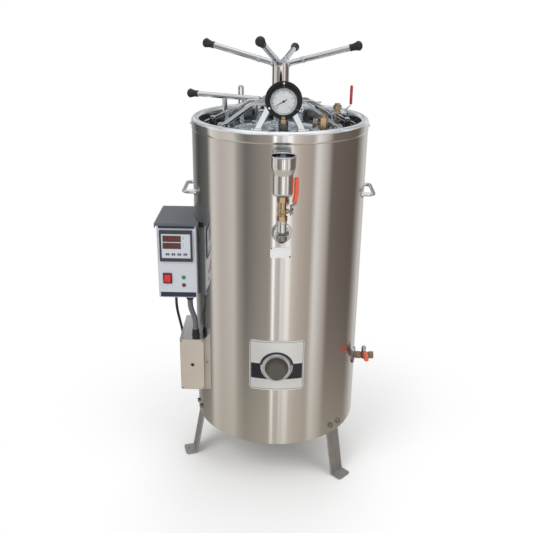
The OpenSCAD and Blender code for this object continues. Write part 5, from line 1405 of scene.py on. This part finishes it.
class AUTOCLAVE_OT_controls(bpy.types.Operator):
    """Control box, panel, controller, switch and lamps"""

    bl_idname = "autoclave.controls"
    bl_label = "Controls"

    KEYS = [-290.2 + (k - 2.5) * 17 for k in range(1, 5)]  # middle of each key, from the left
    KEY_HALF, KEY_Z = 5.3, 703
    OPEN_X, OPEN_Z = (-332.4, -249.4), (691.5, 764.5)  # opening of the controller's bezel
    BEZEL_Y, BEZEL_DEEP, SHEET_Y, SHEET_THICK = -134, 6.8, -132.9, 3
    # back of what stands on the sheet, and the fronts of glass, lamps and frames
    BEHIND_Y, GLASS_Y, LAMP_Y, FRAME_Y = -132.6, -133.15, -133.3, -133.35
    # corners of the two displays
    WINDOWS = (((-327.5, 741.6), (-276.5, 759.2)), ((-328, 720.5), (-277, 737.5)))
    FIGURE_ROWS = ((750.4, 13.0), (729, 12.4))  # middle and height of each row of figures
    FIGURE_X, FIGURE_STEP, BAR = -319.5, 11.7, 1.1  # first figure, distance to the next, width of a bar
    LENS_X, UPPER_LENS, LOWER_LENS = -272, 630, 606
    LENS_R, LENS_BACK, BETWEEN_LENSES, FRAME_X = 4.62, -126.5, 618, -300
    PIN_Y, PIN_Z, PIN_R = -127, 627, 1.25  # the pin on which the rocker turns, with room round it
    # corners of the printed sign on each key, round its middle; the first key has a ring
    SIGNS = {1: ((-1.7, 0), (1.2, -1.7), (1.2, 1.7)), 2: ((0, -1.6), (1.8, 1.2), (-1.8, 1.2)),
             3: ((0, 1.6), (-1.8, -1.2), (1.8, -1.2))}

    def execute(self, context):
        box = surface("Box paint", (0.50, 0.52, 0.54), rough=0.4, tone=0.1, scale=60, bump=0.04)
        hood = surface("Hood paint", tuple(props().hood_colour), rough=0.34, tone=0.2, scale=90, bump=0.08)
        panel = surface("Panel paint", tuple(props().panel_colour), rough=0.42, metal=0.2, tone=0.06,
                        rough_change=0.08, scale=60, stretch=(1, 1, 6), bump=0.03)
        softened("control_box", box, 0.8)
        softened("control_hood", hood, 0.7)
        softened("front_panel", panel, 0.4)
        case = surface("Controller case", (0.035, 0.04, 0.052), rough=0.36, tone=0.2, scale=90, bump=0.05)
        for k in range(1, 5):
            softened("button_%d" % k, black_grip(), 0.3)
        self.controller(case)
        self.displays()
        self.key_marks()
        green = surface("Green lens", (0.02, 0.20, 0.10), rough=0.16, tone=0.2, scale=60, coat=0.5)
        dark_red = surface("Dark red lens", (0.13, 0.012, 0.015), rough=0.16, tone=0.2, scale=60, coat=0.5)
        softened("panel_fittings", [black_grip(), chrome(), green, dark_red], 0.3, pick=self.fitting)
        bright_red = surface("Rocker red", (0.66, 0.015, 0.02), rough=0.22, tone=0.1, scale=60, coat=0.4)
        softened("rocker", bright_red, 0.6)
        self.bands()
        return {"FINISHED"}

    def fitting(self, c):
        """Black for the rocker's frame, bright for its pin and the lamps' bezels, then each lens."""
        if c.x < self.FRAME_X:
            return 1 if abs(c.y - self.PIN_Y) < self.PIN_R and abs(c.z - self.PIN_Z) < self.PIN_R else 0
        upper = c.z > self.BETWEEN_LENSES
        lens_z = self.UPPER_LENS if upper else self.LOWER_LENS
        if math.hypot(c.x - self.LENS_X, c.z - lens_z) > self.LENS_R or c.y > self.LENS_BACK:
            return 1
        return 2 if upper else 3

    def controller(self, case):
        """The controller's bezel and body, and the sheet inside the bezel."""
        bm = bmesh.new()
        windowed(bm, [-338, *self.OPEN_X, -244], [681, *self.OPEN_Z, 775], [(1, 1)],
                 self.BEZEL_Y, self.BEZEL_DEEP)
        block(bm, (-336, -127.6, 683), (-246, -68, 773))
        dressed("controller_case", bm, case, "controller", 0.9)
        xs = sorted([*self.OPEN_X] + [x + s * self.KEY_HALF for x in self.KEYS for s in (-1, 1)])
        zs = [self.OPEN_Z[0], 699.7, 706.3, self.OPEN_Z[1]]
        bm = bmesh.new()
        windowed(bm, xs, zs, [(xs.index(x - self.KEY_HALF), 1) for x in self.KEYS],
                 self.SHEET_Y, self.SHEET_THICK)
        sheet = surface("Controller face", (0.55, 0.58, 0.63), rough=0.35, tone=0.08, scale=80, bump=0.03)
        dressed("face_plate", bm, sheet, "controller", 0.12, False)

    def displays(self):
        """Two dark windows in frames, with their unlit figures, and four small lamps."""
        glass = surface("Display glass", (0.075, 0.016, 0.014), rough=0.12, tone=0.3, rough_change=0.06,
                        scale=50, coat=0.6)
        ghost = surface("Unlit figures", (0.17, 0.035, 0.028), rough=0.3, tone=0.2, scale=50)
        grey = surface("Display frame", (0.20, 0.21, 0.24), rough=0.4, tone=0.2, scale=80)
        lens = surface("Pilot lens", (0.16, 0.03, 0.025), rough=0.25, tone=0.2, scale=50, coat=0.3)
        bm = bmesh.new()
        for low, high in self.WINDOWS:
            block(bm, (low[0], self.GLASS_Y, low[1]), (high[0], self.BEHIND_Y, high[1]))
        dressed("display_windows", bm, glass, "controller", 0.15, False)
        bm = bmesh.new()
        for low, high in self.WINDOWS:
            windowed(bm, [low[0] - 1, low[0], high[0], high[0] + 1], [low[1] - 1, low[1], high[1], high[1] + 1],
                     [(1, 1)], self.FRAME_Y, 0.6)
        dressed("display_frames", bm, grey, "controller", 0.12, False)
        bm = bmesh.new()
        for z, tall in self.FIGURE_ROWS:
            level, upright = (5.6, self.BAR), (self.BAR, tall / 2 - 1.6)
            bars = [(0, tall / 2, *level), (0, 0, *level), (0, -tall / 2, *level)]
            bars += [(side * 3.3, half * tall / 4, *upright) for half in (1, -1) for side in (-1, 1)]
            for k in range(4):
                x = self.FIGURE_X + self.FIGURE_STEP * k
                for dx, dz, w, h in bars:
                    block(bm, (x + dx - w / 2, -133.25, z + dz - h / 2),
                          (x + dx + w / 2, -133.1, z + dz + h / 2))
        finished("display_figures", bm, ghost, "controller", 30, False)
        bm = bmesh.new()
        for z in (756, 750, 735, 729):
            block(bm, (-270.5, self.LAMP_Y, z - 0.9), (-268.1, self.BEHIND_Y, z + 0.9))
        dressed("pilot_lamps", bm, lens, "controller", 0.2, False)

    def key_marks(self):
        """A printed sign on each key, which moves with it."""
        for k, x in enumerate(self.KEYS):
            bm = bmesh.new()
            if k == 0:
                lathe(bm, [(1.0, -0.02), (1.5, -0.02), (1.5, 0.06), (1.0, 0.06)], 24,
                      facing(mm(x, -133.4, self.KEY_Z), (0, -1, 0)), closed=True)
            else:
                front, rear = ([bm.verts.new(mm(x + a, y, self.KEY_Z + b)) for a, b in self.SIGNS[k]]
                               for y in (-133.46, -133.38))
                bm.faces.new(front)
                bm.faces.new(list(reversed(rear)))
                for j in range(3):
                    m = (j + 1) % 3
                    bm.faces.new((front[j], rear[j], rear[m], front[m]))
                bmesh.ops.recalc_face_normals(bm, faces=bm.faces)
            finished("key_mark_%d" % (k + 1), bm, white_print(), "button_%d" % (k + 1), 30, False)

    def bands(self):
        """The printed bands at the top and the foot of the panel."""
        bm = bmesh.new()
        block(bm, (-341, -127.25, 568), (-236.5, -126.9, 583))
        block(bm, (-341, -127.25, 779.5), (-236.5, -126.9, 787.8))
        dressed("panel_bands", bm, navy_print(), "front_panel", 0.1, False)


class AUTOCLAVE_OT_terminal(bpy.types.Operator):
    """Terminal box, cover and cable glands"""

    bl_idname = "autoclave.terminal"
    bl_label = "Terminal box"

    def execute(self, context):
        softened("terminal_box", satin_steel(), 0.7)
        cover = surface("Cover steel", (0.76, 0.72, 0.66), rough=0.34, metal=1, tone=0.30, rough_change=0.2,
                        scale=24, bump=0.12)
        softened("terminal_cover", cover, 0.8, segments=3)
        softened("cable_glands", black_grip(), 0.5)
        bm = bmesh.new()
        lathe(bm, [(4.1, -0.2), (6.6, -0.2), (6.6, 0.5), (6.2, 0.9), (4.6, 0.9), (4.1, 0.5)], 40,
              facing(mm(-254.25, -127.2, 341), (0, -1, 0)), closed=True)
        finished("cover_ring", bm, brass(), "terminal_cover", 40, False)
        bm = bmesh.new()
        boot = [(6.1, 8.6), (11.6, 8.6), (12.2, 9.2), (12.2, 11.6), (11.4, 12.4)]
        for k in range(4):
            z, r = 14.0 + 3.6 * k, 11.2 - 0.35 * k
            boot += [(r, z), (r, z + 1.9), (r - 0.9, z + 2.2), (r - 0.9, z + 3.2)]
        boot += [(9.9, 29.2), (9.5, 30), (8.7, 30), (8.7, 29)]
        lathe(bm, boot + [(6.1, 29)], 40, Matrix.Translation(mm(-243, -112, 427)), closed=True)
        finished("conduit_boot", bm, black_grip(), "cable_glands", 40, False)
        return {"FINISHED"}


class AUTOCLAVE_OT_selector(bpy.types.Operator):
    """Selector plate, skirt and knob"""

    bl_idname = "autoclave.selector"
    bl_label = "Selector"

    AZIMUTH, PLATE_Z, KNOB_Z = -89.3, 412, 408  # direction of the plate, and heights of plate and knob
    PLATE_SIZE, PLATE_CORNER = 159, 9
    SKIRT_OUT = 257.3  # the skirt's metal ends here, measured from the jacket's axis
    FIRST, SWEEP, FIGURES = 240, -300, 5  # angle of the zero, angle to the last figure, and steps between them
    PRINT_R, SLOPE = 0.043, 0.003  # edge of the printed scale, and the skirt's rise from there, in metres
    FIGURE_R, FIGURE_SIZE = 37.1, 5.0
    # the plate's print and painted shadow, in metres: its middle, the bands with their gap round the knob, the
    # arch of painted shadow over the knob, the edge line
    PRINT_X, BAND_HALF, BAND_Z, BAND_TALL, BAND_GAP = 0.003, 0.0735, 0.3935, 0.0245, 0.0460
    ARCH_R, ARCH_FROM, LINE = 0.0490, 0.006, (0.0745, 0.0757)

    def execute(self, context):
        bm = bmesh.new()
        curved_plate(bm, self.AZIMUTH, self.PLATE_Z, self.PLATE_SIZE, self.PLATE_SIZE, self.PLATE_CORNER,
                     SEAT_R, 251.7, 40, 40)
        finished("selector_plate", bm, self.plate_paint(), "dial_plate", 40)
        skirt = surface("Skirt metal", (0.58, 0.585, 0.59), rough=0.32, metal=1, tone=0.1, scale=60, bump=0.05)
        azimuth = math.radians(self.AZIMUTH)
        way = Vector((math.cos(azimuth), math.sin(azimuth), 0))
        softened("selector_knob", [knob_black(), skirt], 0.6, segments=3,
                 pick=lambda c: 1 if c.dot(way) < self.SKIRT_OUT else 0)
        self.scale(way)
        return {"FINISHED"}

    def scale(self, way):
        """Marks and figures printed on the slope of the skirt, and the foot of the knob."""
        side = Vector((-way.y, way.x, 0))
        flat = Matrix(((side.x, 0, way.x, 0), (side.y, 0, way.y, 0), (0, 1, 0, self.KNOB_Z * MM), (0, 0, 0, 1)))
        bm = bmesh.new()
        marks(bm, Matrix.Identity(4), **{
            "Count": 31, "Outer radius": 0.0415, "Start angle": math.radians(self.FIRST),
            "Sweep": math.radians(self.SWEEP), "Length": 0.0024, "Width": 0.0011, "Height": 0.0001,
            "Long one in": 3, "Short share": 0.55, "Material": black_print()})
        for k in range(self.FIGURES + 1):
            a = math.radians(self.FIRST + self.SWEEP * k / self.FIGURES)
            place = Matrix.Translation(mm(self.FIGURE_R * math.cos(a), self.FIGURE_R * math.sin(a), 0))
            lettering(bm, "%d" % (10 * k), self.FIGURE_SIZE, place @ Matrix.Rotation(a - math.pi / 2, 4, "Z"))
        for v in bm.verts:
            r = math.hypot(v.co.x, v.co.y)
            v.co.z += max(0.0, min(self.SLOPE, self.PRINT_R - r)) + 0.00005
        bmesh.ops.transform(bm, matrix=Matrix.Translation(way * 254.0 * MM) @ flat, verts=bm.verts)
        finished("skirt_scale", bm, black_print(), "selector_knob", 30, False)
        bm = bmesh.new()
        lathe(bm, [(27.5, -0.5), (27.5, 0.4), (33.6, 0.4), (34.2, 0.0), (34.2, -0.5)], 72,
              Matrix.Translation(way * 257 * MM) @ flat, True)
        finished("knob_foot", bm, knob_black(), "selector_knob", 30, False)

    def plate_paint(self):
        """White metal with dark bands beside the knob, a painted shadow arch over it and a line round the edge.
        """
        material = surface("Selector plate", (0.66, 0.66, 0.645), rough=0.32, metal=0.4, tone=0.08, scale=60,
                           bump=0.03)
        tree = material.node_tree
        link = tree.links.new
        coord = tree.nodes.new("ShaderNodeTexCoord")
        parts = tree.nodes.new("ShaderNodeSeparateXYZ")
        link(coord.outputs["Object"], parts.inputs[0])

        # masks are 1 where they hold and 0 elsewhere
        def away(socket, place):
            return math_of(tree, "ABSOLUTE", math_of(tree, "SUBTRACT", socket, place))

        def under(value, limit):
            return math_of(tree, "LESS_THAN", value, limit)

        def over(value, limit):
            return math_of(tree, "GREATER_THAN", value, limit)

        def both(*masks):
            out = masks[0]
            for mask in masks[1:]:
                out = math_of(tree, "MULTIPLY", out, mask)
            return out

        across = away(parts.outputs["X"], self.PRINT_X)
        knob_up = math_of(tree, "SUBTRACT", parts.outputs["Z"], self.KNOB_Z * MM)
        far = math_of(tree, "SQRT", math_of(tree, "ADD", both(across, across), both(knob_up, knob_up)))
        band = both(under(across, self.BAND_HALF), under(away(parts.outputs["Z"], self.BAND_Z), self.BAND_TALL),
                    over(far, self.BAND_GAP))
        # painted shadow: a dark crescent round the upper half of the skirt, standing for the shadow that the
        # skirt casts on the plate
        painted_shadow_arch = both(under(far, self.ARCH_R), over(knob_up, self.ARCH_FROM))
        edge = math_of(tree, "MAXIMUM", across, away(parts.outputs["Z"], self.PLATE_Z * MM))
        # dark holds both the painted shadow arch and the printed edge line
        dark = math_of(tree, "MAXIMUM", painted_shadow_arch, both(over(edge, self.LINE[0]), under(edge, self.LINE[1])))
        shader = tree.nodes["Principled BSDF"]
        bare = shader.inputs["Base Color"].links[0].from_socket
        banded = blended(tree, band, bare, tuple(props().ink_colour))
        link(blended(tree, dark, banded, (0.03, 0.03, 0.035)), shader.inputs["Base Color"])
        # the print and the painted shadow lose the metal's shine
        print_and_painted_shadow = math_of(tree, "MAXIMUM", dark, band)
        metal = shader.inputs["Metallic"].default_value
        link(math_of(tree, "MULTIPLY", math_of(tree, "SUBTRACT", 1.0, print_and_painted_shadow), metal), shader.inputs["Metallic"])
        return material


class AUTOCLAVE_PT_panel(bpy.types.Panel):
    """Shows the autoclave's settings and a button for each building step"""

    bl_idname = "AUTOCLAVE_PT_panel"
    bl_label = "Autoclave"
    bl_space_type = "VIEW_3D"
    bl_region_type = "UI"
    bl_category = "Autoclave"

    def draw(self, context):
        settings = context.scene.autoclave_settings
        for name in settings.bl_rna.properties.keys():
            if name not in ("rna_type", "name"):
                self.layout.prop(settings, name)
        for operator in STEPS:
            self.layout.operator(operator.bl_idname)


STEPS = (AUTOCLAVE_OT_stage, AUTOCLAVE_OT_cords, AUTOCLAVE_OT_shell, AUTOCLAVE_OT_lid, AUTOCLAVE_OT_lock,
         AUTOCLAVE_OT_valves, AUTOCLAVE_OT_gauge, AUTOCLAVE_OT_controls, AUTOCLAVE_OT_terminal,
         AUTOCLAVE_OT_selector)
CLASSES = (AutoclaveSettings,) + STEPS + (AUTOCLAVE_PT_panel,)


def register():
    """Makes the settings, operators and panel known."""
    for c in CLASSES:
        bpy.utils.register_class(c)
    bpy.types.Scene.autoclave_settings = bpy.props.PointerProperty(type=AutoclaveSettings)


def unregister():
    """Takes them away again."""
    del bpy.types.Scene.autoclave_settings
    for c in reversed(CLASSES):
        bpy.utils.unregister_class(c)


def main():
    """Builds every group of pieces."""
    register()
    for step in STEPS:
        family, name = step.bl_idname.split(".")
        getattr(getattr(bpy.ops, family), name)()


if __name__ == "__main__":
    main()
